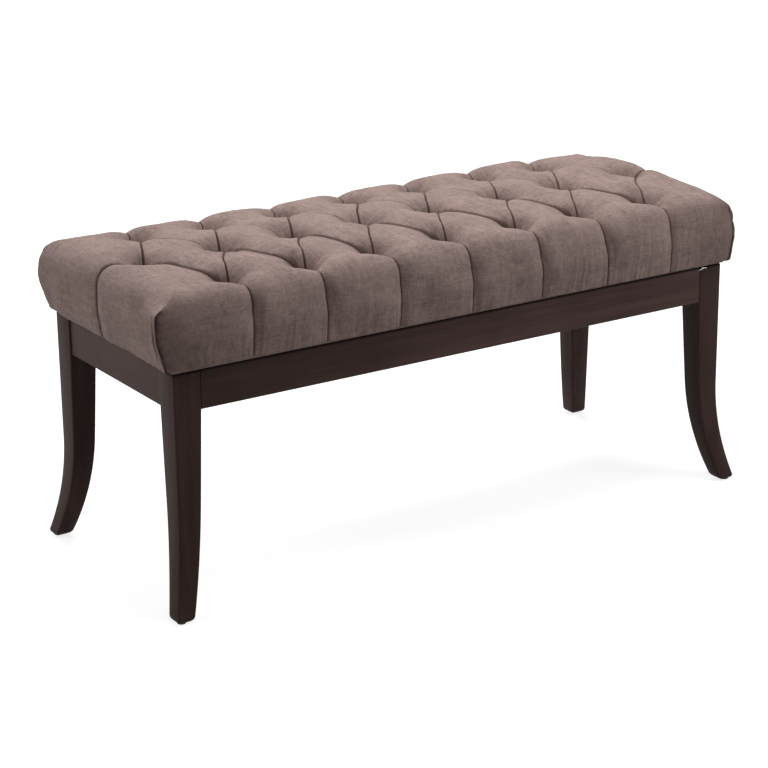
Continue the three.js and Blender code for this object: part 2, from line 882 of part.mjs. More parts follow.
for (const corner of corners) {
  addPart(`leg_${corner.name}`, legGeometry(corner), wood);
  addPart(`glide_${corner.name}`, glideGeometry(corner), plastic);
  addPart(`corner_block_${corner.name}`, cornerBlockGeometry(corner), paleWood);
  addPart(`hanger_bolt_${corner.name}`, hangerBoltGeometry(corner), steel);
  placeOnBolt(addPart(`flange_nut_${corner.name}`, flangeNutGeometry(), steel), corner);
  addPart(`seat_screw_${corner.name}`, seatScrewGeometry(corner), steel);
}
addPart("apron_front", longApronGeometry(-1), wood);
addPart("apron_rear", longApronGeometry(1), wood);
addPart("apron_left", endApronGeometry(-1), wood);
addPart("apron_right", endApronGeometry(1), wood);
addPart("slat_left", slatGeometry(-1), paleWood);
addPart("slat_right", slatGeometry(1), paleWood);
addPart("seat_board", seatBoardGeometry(), plywood);
addPart("foam_slab", foamGeometry(), foam);
addPart("seat_cover", coverGeometry(), fabric);
addPart("dust_cover", dustCoverGeometry(), blackCloth);
const rowNames = { "-1": "front", 0: "middle", 1: "rear" };
for (const tuft of tufts) {
  addPart(`tuft_tie_${rowNames[tuft.row]}_${tuft.number}`, tieGeometry(tuft.place), twine);
}

export default bench;
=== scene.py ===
"""Tufted bench: the cushion, sabre legs, cloths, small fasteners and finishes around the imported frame."""

import math
from collections import namedtuple
from types import SimpleNamespace

import bmesh
import bpy
import numpy as np
from bpy.props import FloatProperty, FloatVectorProperty, IntProperty, PointerProperty
from mathutils import Matrix, Vector


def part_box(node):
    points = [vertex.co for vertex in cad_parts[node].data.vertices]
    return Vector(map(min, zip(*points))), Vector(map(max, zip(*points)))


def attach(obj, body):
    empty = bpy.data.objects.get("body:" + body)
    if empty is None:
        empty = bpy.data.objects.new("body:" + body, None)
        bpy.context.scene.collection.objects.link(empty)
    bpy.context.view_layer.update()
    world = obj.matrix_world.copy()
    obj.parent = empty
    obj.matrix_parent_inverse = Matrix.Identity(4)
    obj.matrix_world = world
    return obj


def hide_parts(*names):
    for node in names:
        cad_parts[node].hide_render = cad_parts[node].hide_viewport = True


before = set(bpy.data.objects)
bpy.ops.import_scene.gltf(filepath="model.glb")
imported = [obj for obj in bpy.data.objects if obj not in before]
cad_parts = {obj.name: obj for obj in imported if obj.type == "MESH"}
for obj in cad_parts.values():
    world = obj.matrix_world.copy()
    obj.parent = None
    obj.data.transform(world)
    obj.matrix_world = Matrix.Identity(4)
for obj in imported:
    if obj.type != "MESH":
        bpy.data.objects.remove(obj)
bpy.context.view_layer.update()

bl_info = {
    "name": "Tufted Bench",
    "version": (1, 0, 0),
    "blender": (4, 5, 0),
    "location": "View3D > Sidebar > Bench",
    "description": "Diamond-tufted cushion, sabre legs, underside and studio for an upholstered bench",
    "category": "Add Mesh",
}

MM = 0.001
CORNERS = {
    "front_left": (-1, -1),
    "front_right": (1, -1),
    "rear_left": (-1, 1),
    "rear_right": (1, 1),
}

# Places that the frame gives
(_, _, COVER_LOW), (COVER_HALF_X, COVER_HALF_Y, COVER_TOP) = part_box("seat_cover")
(_, _, BOARD_LOW), (BOARD_HALF_X, BOARD_HALF_Y, BOARD_TOP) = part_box("seat_board")
_, (DUST_HALF_X, DUST_HALF_Y, DUST_TOP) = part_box("dust_cover")
(_, _, APRON_LOW), (_, _, FRAME_TOP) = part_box("apron_front")
FRAME_HALF_X = 480 * MM
FRAME_HALF_Y = 180.75 * MM
# Where the flat top of the cushion passes into its shoulder
RIM_X = COVER_HALF_X - 50 * MM
RIM_Y = COVER_HALF_Y - 50 * MM


def tuft_places():
    """The tufts in plan, one array for each row from front to back, read from their ties."""
    rows = {}
    for name in sorted(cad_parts):
        if name.startswith("tuft_tie_"):
            low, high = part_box(name)
            row = name.split("_")[2]
            rows.setdefault(row, []).append(((low[0] + high[0]) / 2, (low[1] + high[1]) / 2))
    return [np.array(sorted(rows[row])) for row in ("front", "middle", "rear")]


FRONT_TUFTS, MIDDLE_TUFTS, REAR_TUFTS = tuft_places()
TUFTS = np.concatenate([FRONT_TUFTS, MIDDLE_TUFTS, REAR_TUFTS])
TUFT_SPACING = float(FRONT_TUFTS[1][0] - FRONT_TUFTS[0][0])
ROW_SPACING = float(-FRONT_TUFTS[0][1])
LAST_TUFT = float(MIDDLE_TUFTS[-1][0])

# How far each corner of the cushion reaches out along X and Y on top, at its shoulder and at its
# hem, against a sharp corner, and how far the end's cloth bulges over the top of its fold, in mm,
# with the corners in the order of CORNERS
CORNER_TOP = ((0.84, 0.84), (0.84, 0.84), (0.96, 0.96), (0.80, 0.80))
CORNER_BULGE = ((1.18, 0.82), (0.88, 0.88), (0.93, 0.93), (0.92, 0.92))
CORNER_HEM = ((1.07, 0.88), (1.03, 1.03), (0.89, 0.89), (0.97, 0.97))
CORNER_LAP = (2, 0.5, 0, 0.5)

# Each kind of pleat by shares of the usual width of its slit, depth of its fold, depth and reach
# of its valley, and strength of the painted shade of its lip and slit
Pleat = namedtuple("Pleat", "slit fold valley reach shade")
FRONT_SLASH = Pleat(slit=1.0, fold=1.0, valley=0.55, reach=1.0, shade=0.5)
FRONT_ARCH = Pleat(slit=2.0, fold=1.0, valley=1.55, reach=1.9, shade=3.2)
REAR_SLASH = Pleat(slit=1.2, fold=1.0, valley=0.50, reach=1.0, shade=0.5)
REAR_ARCH = Pleat(slit=0.6, fold=0.35, valley=0.60, reach=1.2, shade=0.1)
SIDE_PLEAT = Pleat(slit=0.75, fold=0.9, valley=1.0, reach=1.0, shade=0.7)
LEFT_END_PLEAT = Pleat(slit=2.0, fold=1.2, valley=1.0, reach=1.0, shade=2.2)
RIGHT_END_PLEAT = Pleat(slit=1.0, fold=0.9, valley=0.7, reach=1.0, shade=0.7)

# How far each hand-set tuft has wandered from its tie in plan, in mm
FRONT_WANDER = ((7, -2), (9, -2), (0, -2), (3, -2), (5, -2), (-1, -2), (6, -2))
MIDDLE_WANDER = ((7, 3), (5, 3), (5, 3), (-1, 3), (1, 3), (6, 3), (3, 3), (12, 3))
REAR_WANDER = ((-5, -1), (-7, -1), (-4, -1), (-3, -1), (-6, -1), (-5, -1), (-5, -1))
# How far each front pleat has wandered along the front at its shoulder and at its hem, in mm,
# and where these lie past the rim in the folded plan
SHOULDER_WANDER = (9, 2, 3, 1, 1, -3, 2)
HEM_WANDER = (7, 3, 2, 4, 6, 5, 4)
SHOULDER_PAST, HEM_PAST = 55 * MM, 140 * MM
# The same at the shoulder of the rear pleats, and as (past the rim, wander) of the left end's pleat
REAR_SHOULDER_PAST, REAR_SHOULDER_WANDER = 32 * MM, 2
LEFT_END_WANDER = ((45, 15), (150, 7))

# Lobes along the rims that are stuffed fuller or flatter than the rest, as (x, y, rise) in mm
SWELLS = (
    (-480, 100, 1), (-420, 170, -1), (-300, 175, -5), (-180, 175, -4), (-60, 175, -3), (60, 175, -2),
    (180, 175, 0), (300, 175, 1), (400, 170, 0), (475, 60, 6), (475, -70, 4), (470, -170, -1),
    (-300, -170, 0), (0, -170, 0), (250, -170, 0), (0, 0, 0), (-300, 0, 0), (250, 0, 1), (-470, -120, 0),
)


def length_of(name, description, default):
    """A length that a user may change."""
    return FloatProperty(
        name=name, description=description, default=default, subtype="DISTANCE", unit="LENGTH",
    )


def turn_of(name, description, default):
    """An angle that a user may change, in radians."""
    return FloatProperty(
        name=name, description=description, default=default, subtype="ANGLE", unit="ROTATION",
    )


def colour_of(name, description, default):
    """A colour that a user may change."""
    return FloatVectorProperty(
        name=name, description=description, default=default, subtype="COLOR", min=0.0, max=1.0,
    )


class BenchCushionSettings(bpy.types.PropertyGroup):
    """Sizes of the tufted cushion."""

    crest: length_of("Crest", "Height of the rim lobes above the floor", COVER_TOP - 6.5 * MM)
    crown: length_of("Crown", "Extra height of the lobes in the middle", 4.4 * MM)
    shoulder_drop: length_of("Shoulder Drop", "Height of the rounding from top to side", 46 * MM)
    hem_draw: length_of("Hem Draw", "How far the hem is drawn in from the widest line", 8 * MM)
    hem_roll: length_of("Hem Roll", "Rounding of the cover at the hem", 4 * MM)
    hem_lift: length_of("Hem Lift", "How far the hem hangs clear of the frame", 4 * MM)
    corner_drop: length_of("Corner Drop", "How far the padding falls away towards a corner", 6 * MM)
    corner_reach: length_of("Corner Reach", "Where the rounding of a corner starts along the rim", 34 * MM)
    corner_step: length_of(
        "Corner Step", "How far the long side lies below the fold at a corner", 6 * MM,
    )
    pit_depth: length_of("Tuft Depth", "Depth of a tuft below the crest", 47 * MM)
    pit_reach: length_of(
        "Tuft Reach", "Distance at which a tuft stops pulling the padding down", 72 * MM,
    )
    pit_power: FloatProperty(
        name="Tuft Steepness", description="How steeply the padding falls towards a tuft",
        default=3.3, min=1.0, max=6.0,
    )
    pleat_depth: length_of("Pleat Depth", "Depth of the soft valley along a pleat on top", 6.5 * MM)
    shoulder_pleat_depth: length_of(
        "Shoulder Pleat Depth", "Extra depth of that valley at the shoulder", 5.5 * MM,
    )
    front_pleat_depth: length_of(
        "Front Pleat Depth", "Extra depth of that valley along the front rim", 10 * MM,
    )
    side_pleat_depth: length_of(
        "Side Pleat Depth", "Depth of the soft valley along a pleat at the hem", 3 * MM,
    )
    pleat_reach: length_of("Pleat Reach", "Width of the soft valley on each side of a pleat", 32 * MM)
    fold_depth: length_of("Fold Depth", "Depth of the narrow slit at a pleat", 7 * MM)
    fold_width: length_of("Fold Width", "Width of the narrow slit at a pleat", 2.4 * MM)
    tuck_depth: length_of(
        "Tuck Depth", "How far the cloth that enters a fold lies below its lip", 2 * MM,
    )
    lip_height: length_of("Lip Height", "How far the lip of a pleat stands proud", 1.0 * MM)
    twist: turn_of("Twist", "Turn of the cover around a tuft", 0.11)
    unevenness: length_of("Unevenness", "Depth of the slow waves in the padding", 1.2 * MM)
    pucker: length_of("Pucker", "Depth of the small upright ripples above the hem", 0.9 * MM)
    seed: IntProperty(name="Seed", description="Seed of the small irregularities", default=11)


class BenchLegSettings(bpy.types.PropertyGroup):
    """Sizes of the sabre legs."""

    foot_side: length_of("Foot Side", "Side of the square section at the floor", 27 * MM)
    top_side: length_of("Top Side", "Side of the square section beside the aprons", 42 * MM)
    sweep_height: length_of("Sweep Height", "Height below which a leg turns outwards", 163 * MM)
    sweep_power: FloatProperty(
        name="Sweep Power", description="How late the sweep gathers towards the floor",
        default=2.05, min=1.0, max=4.0,
    )
    taper_power: FloatProperty(
        name="Taper Power", description="How late the taper gathers towards the floor",
        default=0.8, min=0.3, max=3.0,
    )
    foot_rounding: length_of("Foot Rounding", "Radius around the sole", 7 * MM)
    arris: length_of("Arris", "Rounding of the long edges", 2.5 * MM)


class BenchUndersideSettings(bpy.types.PropertyGroup):
    """Sizes of the dust cover and of the small fasteners."""

    sheet_thickness: length_of("Sheet Thickness", "Thickness of the dust cover", 0.35 * MM)
    sheet_sag: length_of("Sheet Sag", "How far the dust cover sags between the slats", 3 * MM)
    hem_width: length_of("Hem Width", "Width of the dust cover's turned-in edge", 14 * MM)
    staple_pitch: length_of("Staple Pitch", "Distance between the staples of the dust cover", 48 * MM)
    staple_crown: length_of("Staple Crown", "Length of a staple's crown", 10 * MM)
    head_radius: length_of("Screw Head Radius", "Radius of the pan heads in the corner blocks", 3.8 * MM)


class BenchFinishSettings(bpy.types.PropertyGroup):
    """Colours of the visible finishes."""

    cloth: colour_of("Cover", "Colour of the linen cover", (0.354, 0.256, 0.230))
    stain: colour_of("Stain", "Colour of the stained legs and aprons", (0.105, 0.064, 0.058))


class BenchStageSettings(bpy.types.PropertyGroup):
    """Camera of the studio."""

    camera_place: FloatVectorProperty(
        name="Camera Place", description="Where the camera stands",
        default=(-1.8385, -2.8019, 1.33125), subtype="TRANSLATION", unit="LENGTH",
    )
    camera_azimuth: turn_of("Azimuth", "Turn of the camera around the bench", math.radians(-32.88))
    camera_elevation: turn_of("Elevation", "Downward tilt of the camera", math.radians(18.67))
    camera_roll: turn_of("Roll", "Roll of the camera", math.radians(-0.63))
    lens: FloatProperty(
        name="Lens", description="Focal length on a 36 mm sensor, in millimetres", default=108.61,
    )


# Helpers for building by hand in edit mode


def select_only(*objects):
    """Leaves edit mode and selects just the given objects, the first of them active."""
    if bpy.context.object and bpy.context.object.mode != "OBJECT":
        bpy.ops.object.mode_set(mode="OBJECT")
    bpy.ops.object.select_all(action="DESELECT")
    for obj in objects:
        obj.select_set(True)
    if objects:
        bpy.context.view_layer.objects.active = objects[0]


def finish_piece(obj, name, material):
    """Names a finished piece, settles its place into its mesh and gives it its finish."""
    select_only(obj)
    bpy.ops.object.transform_apply(location=True, rotation=True, scale=True)
    obj.name = name
    obj.data.name = name
    give_finish(obj, material)
    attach(obj, "root")


def give_finish(node, material):
    """Takes a node's materials away and gives it the one."""
    node.data.materials.clear()
    node.data.materials.append(material)


def apply_modifiers(obj):
    select_only(obj)
    for modifier in list(obj.modifiers):
        bpy.ops.object.modifier_apply(modifier=modifier.name)


def new_piece(mesh):
    """An object with smooth faces for a mesh that was made by code."""
    mesh.polygons.foreach_set("use_smooth", np.ones(len(mesh.polygons), bool))
    obj = bpy.data.objects.new(mesh.name, mesh)
    bpy.context.scene.collection.objects.link(obj)
    return obj


# Materials


def new_material(name):
    """A fresh material, its node tree and its shader."""
    material = bpy.data.materials.new(name)
    material.use_nodes = True
    return material, material.node_tree, material.node_tree.nodes["Principled BSDF"]


def new_node(tree, kind, **constants):
    """A node with constants on its sockets, each named like its socket with _ for a space."""
    node = tree.nodes.new("ShaderNode" + kind)
    for socket, value in constants.items():
        node.inputs[socket.replace("_", " ")].default_value = value
    return node


def own_place(tree):
    """Where on its piece a point lies, in metres."""
    return new_node(tree, "TexCoord").outputs["Object"]


def noise(tree, vector, scale, detail=3.0, roughness=0.55):
    """Noise at one scale, or stretched by three scales along X, Y and Z."""
    if not isinstance(scale, float):
        stretch = new_node(tree, "Mapping", Scale=scale)
        tree.links.new(vector, stretch.inputs["Vector"])
        vector, scale = stretch.outputs["Vector"], 1.0
    texture = new_node(tree, "TexNoise", Scale=scale, Detail=detail, Roughness=roughness)
    tree.links.new(vector, texture.inputs["Vector"])
    return texture.outputs["Fac"]


def ramp(tree, value, stops):
    """A colour ramp over (place, colour) stops."""
    node = new_node(tree, "ValToRGB")
    elements = node.color_ramp.elements
    while len(elements) < len(stops):
        elements.new(0.5)
    for element, (place, colour) in zip(elements, stops):
        element.position = place
        element.color = (*colour, 1.0)
    tree.links.new(value, node.inputs["Fac"])
    return node.outputs["Color"]


def level(tree, value, low, high, start=0.0, end=1.0):
    """Maps start..end onto low..high."""
    node = new_node(tree, "MapRange", From_Min=start, From_Max=end, To_Min=low, To_Max=high)
    tree.links.new(value, node.inputs["Value"])
    return node.outputs["Result"]


def math_node(tree, operation, first, second):
    node = new_node(tree, "Math")
    node.operation = operation
    for socket, value in zip(node.inputs, (first, second)):
        if isinstance(value, (int, float)):
            socket.default_value = value
        else:
            tree.links.new(value, socket)
    return node.outputs["Value"]


def blend(tree, share, first, second):
    """Mixes a colour socket with a plain colour."""
    node = new_node(tree, "Mix")
    node.data_type = "RGBA"
    factor, colours = node.inputs[0], node.inputs[6:8]
    tree.links.new(share, factor)
    tree.links.new(first, colours[0])
    colours[1].default_value = (*second, 1.0)
    return node.outputs[2]


def shade(colour, factor):
    """A colour made darker or paler."""
    return tuple(min(channel * factor, 1.0) for channel in colour)


def tones(tree, value, colour, *stops):
    """Shades of one colour over (place, factor) stops."""
    return ramp(tree, value, [(place, shade(colour, factor)) for place, factor in stops])


def bump(tree, height, strength, distance, below=None):
    """The normal of fine relief, on top of the relief below where that is given."""
    node = new_node(tree, "Bump", Strength=strength, Distance=distance)
    tree.links.new(height, node.inputs["Height"])
    if below is not None:
        tree.links.new(below, node.inputs["Normal"])
    return node.outputs["Normal"]


def join_shader(tree, shader, tone, roughness, normal):
    for socket, value in (("Base Color", tone), ("Roughness", roughness), ("Normal", normal)):
        tree.links.new(value, shader.inputs[socket])


def threads(tree, coordinates, pitch, axis):
    """One set of yarns of a plain weave, as a soft wave across the given axis."""
    # A wave texture of scale 1 repeats after 2 pi / 20
    wave = new_node(
        tree, "TexWave", Scale=2 * math.pi / (20 * pitch), Distortion=1.2, Detail=2.0, Detail_Scale=1.4,
    )
    wave.bands_direction = axis
    tree.links.new(coordinates, wave.inputs["Vector"])
    return wave.outputs["Fac"]


def linen_material(colour):
    """Heathered linen: two sets of yarns with slubs, paler and darker fibres and a soft sheen, and painted
    shade in its folds.
    """
    material, tree, shader = new_material("linen_cover")
    cloth_map = new_node(tree, "UVMap")
    cloth_map.uv_map = "cloth"
    cloth = cloth_map.outputs["UV"]
    yarn_pitch = 0.9 * MM
    warp = threads(tree, cloth, yarn_pitch, "X")
    weft = threads(tree, cloth, yarn_pitch, "Y")
    weave = math_node(tree, "MULTIPLY", warp, weft)
    slub_long = noise(tree, cloth, (70, 620, 1), 3.0, 0.65)
    slub_cross = noise(tree, cloth, (620, 70, 1), 3.0, 0.65)
    slubs = math_node(tree, "ADD", slub_long, slub_cross)
    mixed = math_node(tree, "MULTIPLY", slubs, 0.40)
    heather = noise(tree, cloth, 260.0, 4.0, 0.7)
    flecks = noise(tree, cloth, 95.0, 3.0, 0.6)
    patches = noise(tree, cloth, 16.0, 3.0, 0.6)
    streak_long = noise(tree, cloth, (20, 150, 1), 2.0, 0.6)
    streak_cross = noise(tree, cloth, (150, 20, 1), 2.0, 0.6)
    for part, low, high in (
        (heather, -0.07, 0.38), (flecks, -0.09, 0.09), (patches, -0.14, 0.18),
        (streak_long, -0.09, 0.09), (streak_cross, -0.13, 0.13), (weave, -0.06, 0.10),
    ):
        mixed = math_node(tree, "ADD", mixed, level(tree, part, low, high))
    tone = tones(tree, mixed, colour, (0.36, 0.62), (0.57, 1.0), (0.80, 1.45))
    # Painted shade: the cushion's attribute darkens the cloth in its folds and tufts
    painted_shade = new_node(tree, "Attribute")
    painted_shade.attribute_name = "painted_shade"
    painted_shade_share = math_node(tree, "MULTIPLY", painted_shade.outputs["Fac"], 0.85)
    # Painted shade deep in a fold keeps more of the cloth's red than of its green and blue
    folded = [channel * share for channel, share in zip(colour, (0.12, 0.06, 0.05))]
    coarse = bump(tree, slubs, 0.22, 0.6 * MM)
    fine = bump(tree, weave, 0.35, 0.35 * MM, coarse)
    join_shader(tree, shader, blend(tree, painted_shade_share, tone, folded), level(tree, slubs, 0.82, 0.96), fine)
    shader.inputs["Specular IOR Level"].default_value = 0.12
    shader.inputs["Sheen Weight"].default_value = 0.06
    shader.inputs["Sheen Roughness"].default_value = 0.55
    shader.inputs["Sheen Tint"].default_value = (0.86, 0.78, 0.74, 1.0)
    return material


def grain_scales(axis, across, along):
    """Three scales of wood grain that runs along one axis."""
    return tuple(along if name == axis else across for name in "XYZ")


def stained_wood_material(name, colour, grain_axis, painted_shadow=0.0, painted_left_shade=0.0):
    """Stained close-grained hardwood, with its grain along the given axis of the bench.

    painted_shadow is how much painted shadow darkens the stain in the last millimetres under the
    cushion, painted_left_shade how much painted shade darkens it towards the left end."""
    material, tree, shader = new_material(name)
    place = own_place(tree)
    grain = noise(tree, place, grain_scales(grain_axis, 60.0, 3.0), 6.0, 0.62)
    pores = noise(tree, place, grain_scales(grain_axis, 900.0, 28.0), 3.0, 0.6)
    clouds = noise(tree, place, 7.0, 2.0, 0.5)
    mixed = math_node(tree, "MULTIPLY", grain, 0.55)
    mixed = math_node(tree, "ADD", mixed, level(tree, pores, 0.0, 0.20))
    mixed = math_node(tree, "ADD", mixed, level(tree, clouds, 0.0, 0.25))
    tone = tones(tree, mixed, colour, (0.32, 0.62), (0.50, 1.0), (0.72, 1.55))
    split = new_node(tree, "SeparateXYZ")
    tree.links.new(place, split.inputs["Vector"])
    # Painted shade towards the left end of the bench
    left_shade_from, left_shade_to = -FRAME_HALF_X, 0.1
    left_shade = level(tree, split.outputs["X"], painted_left_shade, 0.0, left_shade_from, left_shade_to)
    tone = blend(tree, left_shade, tone, shade(colour, 0.2))
    # Painted shadow in the last millimetres under the cushion
    shadow_low, shadow_high = FRAME_TOP - 4.5 * MM, FRAME_TOP - 2.0 * MM
    under = level(tree, split.outputs["Z"], 0.0, painted_shadow, shadow_low, shadow_high)
    tone = blend(tree, under, tone, shade(colour, 0.1))
    join_shader(tree, shader, tone, level(tree, grain, 0.36, 0.54), bump(tree, pores, 0.12, 0.2 * MM))
    shader.inputs["Specular IOR Level"].default_value = 0.04
    return material


def raw_wood_material(name, colour, grain_axis):
    """Bare sawn wood or plywood, with its grain along the given axis."""
    material, tree, shader = new_material(name)
    place = own_place(tree)
    rings = noise(tree, place, grain_scales(grain_axis, 45.0, 2.5), 5.0, 0.6)
    fuzz = noise(tree, place, 420.0, 3.0, 0.6)
    mixed = math_node(tree, "MULTIPLY", rings, 0.75)
    mixed = math_node(tree, "ADD", mixed, level(tree, fuzz, 0.0, 0.22))
    tone = tones(tree, mixed, colour, (0.30, 0.68), (0.52, 1.0), (0.74, 1.22))
    join_shader(tree, shader, tone, level(tree, fuzz, 0.62, 0.85), bump(tree, fuzz, 0.25, 0.3 * MM))
    return material


def plain_material(name, fine, stops, roughness, relief, broad=None, metallic=0.0, sheen=0.0):
    """A surface of one stuff: fine noise gives its roughness and relief, and its tone follows
    that noise or a broader one.

    Each noise is (scale, detail, roughness), stops are the (place, colour) stops of the tone,
    roughness is its least and most, and relief is the strength and distance of the bumps."""
    material, tree, shader = new_material(name)
    place = own_place(tree)
    texture = noise(tree, place, *fine)
    tone = ramp(tree, noise(tree, place, *broad) if broad else texture, stops)
    join_shader(tree, shader, tone, level(tree, texture, *roughness), bump(tree, texture, *relief))
    shader.inputs["Metallic"].default_value = metallic
    shader.inputs["Sheen Weight"].default_value = sheen
    return material


def black_cloth_material():
    """Thin non-woven dust cloth of matted fibres."""
    return plain_material(
        "black_dust_cloth", (700.0, 4.0, 0.7), [(0.3, (0.010, 0.010, 0.011)), (0.7, (0.024, 0.023, 0.024))],
        roughness=(0.75, 0.95), relief=(0.4, 0.2 * MM), broad=(60.0, 3.0, 0.6), sheen=0.15,
    )


def twine_material():
    """Waxed tufting cord and its pressed caps."""
    return plain_material(
        "waxed_twine", ((700, 700, 260), 3.0, 0.6), [(0.3, (0.50, 0.45, 0.36)), (0.7, (0.72, 0.68, 0.58))],
        roughness=(0.55, 0.75), relief=(0.4, 0.3 * MM),
    )


def zinc_material():
    """Zinc-plated steel with faint spangle and handling marks."""
    return plain_material(
        "steel", (350.0, 3.0, 0.6), [(0.3, (0.42, 0.42, 0.43)), (0.7, (0.60, 0.60, 0.58))],
        roughness=(0.24, 0.42), relief=(0.08, 0.1 * MM), metallic=1.0,
    )


def glide_material():
    """Moulded black nylon, scuffed where it meets the floor."""
    return plain_material(
        "black_nylon", (260.0, 4.0, 0.65), [(0.35, (0.010, 0.010, 0.010)), (0.8, (0.030, 0.028, 0.027))],
        roughness=(0.42, 0.62), relief=(0.1, 0.1 * MM),
    )


# Cushion


def pleat_lines():
    """Every pleat as (start, end, way to its lip, kind), with the sides folded flat."""
    past_hem = 4.0
    neighbour = 0.75 * TUFT_SPACING
    lines = []

    def add(start, end, lip, kind):
        along = np.subtract(end, start)
        along = along / np.hypot(*along)
        normal = np.array([-along[1], along[0]])
        normal *= math.copysign(1.0, float(np.dot(normal, lip)))
        lines.append((np.array(start), np.array(end), normal, kind))

    for row, sign, slash, arch in (
        (FRONT_TUFTS, -1, FRONT_SLASH, FRONT_ARCH), (REAR_TUFTS, 1, REAR_SLASH, REAR_ARCH),
    ):
        for x, y in row:
            for middle_x, middle_y in MIDDLE_TUFTS:
                if abs(middle_x - x) > neighbour:
                    continue
                if (middle_x - x) * sign < 0:
                    add((x, y), (middle_x, middle_y), (-1.0, 0.0), slash)
                else:
                    add((x, y), (middle_x, middle_y), (sign, 0.0), arch)
            add((x, y), (x, sign * past_hem), (-1.0, 0.0), SIDE_PLEAT)
    for sign, kind in ((-1, LEFT_END_PLEAT), (1, RIGHT_END_PLEAT)):
        add((sign * LAST_TUFT, 0.0), (sign * past_hem, 0.0), (0.0, sign), kind)
    return lines


PLEATS = pleat_lines()


def fade(distance, reach, power=2.0):
    """1 at no distance, falling to 0 at the reach."""
    return (1.0 - np.clip(distance / reach, 0.0, 1.0)) ** power


def rise(value, low, high):
    """0 below low and 1 above high, with a smooth step between them."""
    share = np.clip((value - low) / (high - low), 0.0, 1.0)
    return share * share * (3.0 - 2.0 * share)


def waves(points, seed, wavelength, count=7):
    """A sum of a few long waves of random direction, about -1 to 1."""
    generator = np.random.default_rng(seed)
    total = np.zeros(len(points))
    for _ in range(count):
        angle = generator.uniform(0, 2 * math.pi)
        length = wavelength * generator.uniform(0.7, 1.6)
        phase = generator.uniform(0, 2 * math.pi)
        way = np.array([math.cos(angle), math.sin(angle)])
        total += np.sin(points @ way * (2 * math.pi / length) + phase)
    return total / math.sqrt(count)


def ripples(places, seed, wavelength, count=9):
    """Random ripples along one line, about -1 to 1."""
    generator = np.random.default_rng(seed)
    total = np.zeros(len(places))
    for _ in range(count):
        length = wavelength * generator.uniform(0.5, 2.0)
        total += np.sin(places * (2 * math.pi / length) + generator.uniform(0, 2 * math.pi))
    return total / math.sqrt(count)


def nearest_pleats(points):
    """What the pleats are like around each point.

    soft is a soft distance to all pleats, sink and reach are the mean shares of their valleys.
    least is the distance to the nearest pleat, side is 1 on its lip's side and -1 on the other,
    and slit, fold and shade are its kind's."""
    soft, sink, reach, side = np.zeros((4, len(points)))
    least = np.full(len(points), 1e9)
    slit, fold, shadow = np.ones((3, len(points)))
    smallest = 1e-6
    for start, end, lip, kind in PLEATS:
        along = end - start
        share = np.clip((points - start) @ along / (along @ along), 0.0, 1.0)
        offset = points - (start + share[:, None] * along)
        distance = np.hypot(offset[:, 0], offset[:, 1])
        near = 1.0 / np.maximum(distance, smallest) ** 3
        soft += near
        sink += near * kind.valley
        reach += near * kind.reach
        closer = distance < least
        least = np.where(closer, distance, least)
        side = np.where(closer, np.sign(offset @ lip), side)
        slit = np.where(closer, kind.slit, slit)
        fold = np.where(closer, kind.fold, fold)
        shadow = np.where(closer, kind.shade, shadow)
    return SimpleNamespace(
        soft=soft ** (-1.0 / 3.0), sink=sink / soft, reach=reach / soft,
        least=least, side=side, slit=slit, fold=fold, shade=shadow,
    )


# Depth of the single tufts as shares of Tuft Depth, and how much steeper the padding falls towards
# a tuft from its right, in the front row and in the others
TUFT_SHARES = (0.95, 1.04)
FRONT_STEEPER, OTHER_STEEPER = 1.0, 0.5
# The small creases around a tuft: their number, the ring where they are deepest and its width,
# and the least and the most of their (turn, width in radians, depth in mm)
GATHERS = 9
GATHER_RING, GATHER_SPREAD = 21 * MM, 12 * MM
LEAST_GATHER, MOST_GATHER = (-0.3, 0.10, 0.8), (0.3, 0.26, 2.2)


def pits_and_gathers(settings, points):
    """The pull of the tufts and the radial creases around them."""
    generator = np.random.default_rng(settings.seed)
    pit = np.zeros(len(points))
    gathers = np.zeros(len(points))
    for place in TUFTS:
        offset = points - place
        distance = np.hypot(offset[:, 0], offset[:, 1])
        depth = generator.uniform(*TUFT_SHARES)
        creases = generator.uniform(LEAST_GATHER, MOST_GATHER, (GATHERS, 3))
        creases[:, 0] += np.arange(GATHERS) * (2 * math.pi / GATHERS)
        close = np.flatnonzero(distance < settings.pit_reach)
        near = distance[close]
        towards_right = np.clip(offset[close, 0] / np.maximum(near, 1 * MM), 0.0, 1.0)
        in_front_row = place[1] < -ROW_SPACING / 2
        steeper = 1.0 + (FRONT_STEEPER if in_front_row else OTHER_STEEPER) * towards_right
        pull = depth * fade(near, settings.pit_reach, settings.pit_power * steeper)
        pit[close] = np.maximum(pit[close], pull)
        angle = np.arctan2(offset[close, 1], offset[close, 0])
        band = np.exp(-((near - GATHER_RING) / GATHER_SPREAD) ** 2)
        for where, width, strength in creases:
            away = np.abs((angle - where + math.pi) % (2 * math.pi) - math.pi)
            gathers[close] += strength * MM * np.exp(-((away / width) ** 2)) * band
    return settings.pit_depth * pit, gathers


# Where the deeper valleys of the front rim set in around the front tufts, how much of them is lost
# towards the side, and how much wider they are on the side of the lip and on the other
FRONT_START, FRONT_END = ROW_SPACING - 15 * MM, ROW_SPACING + 12 * MM
FRONT_LOSS = 0.65
LIP_WIDER, TUCK_WIDER = 0.4, -0.25


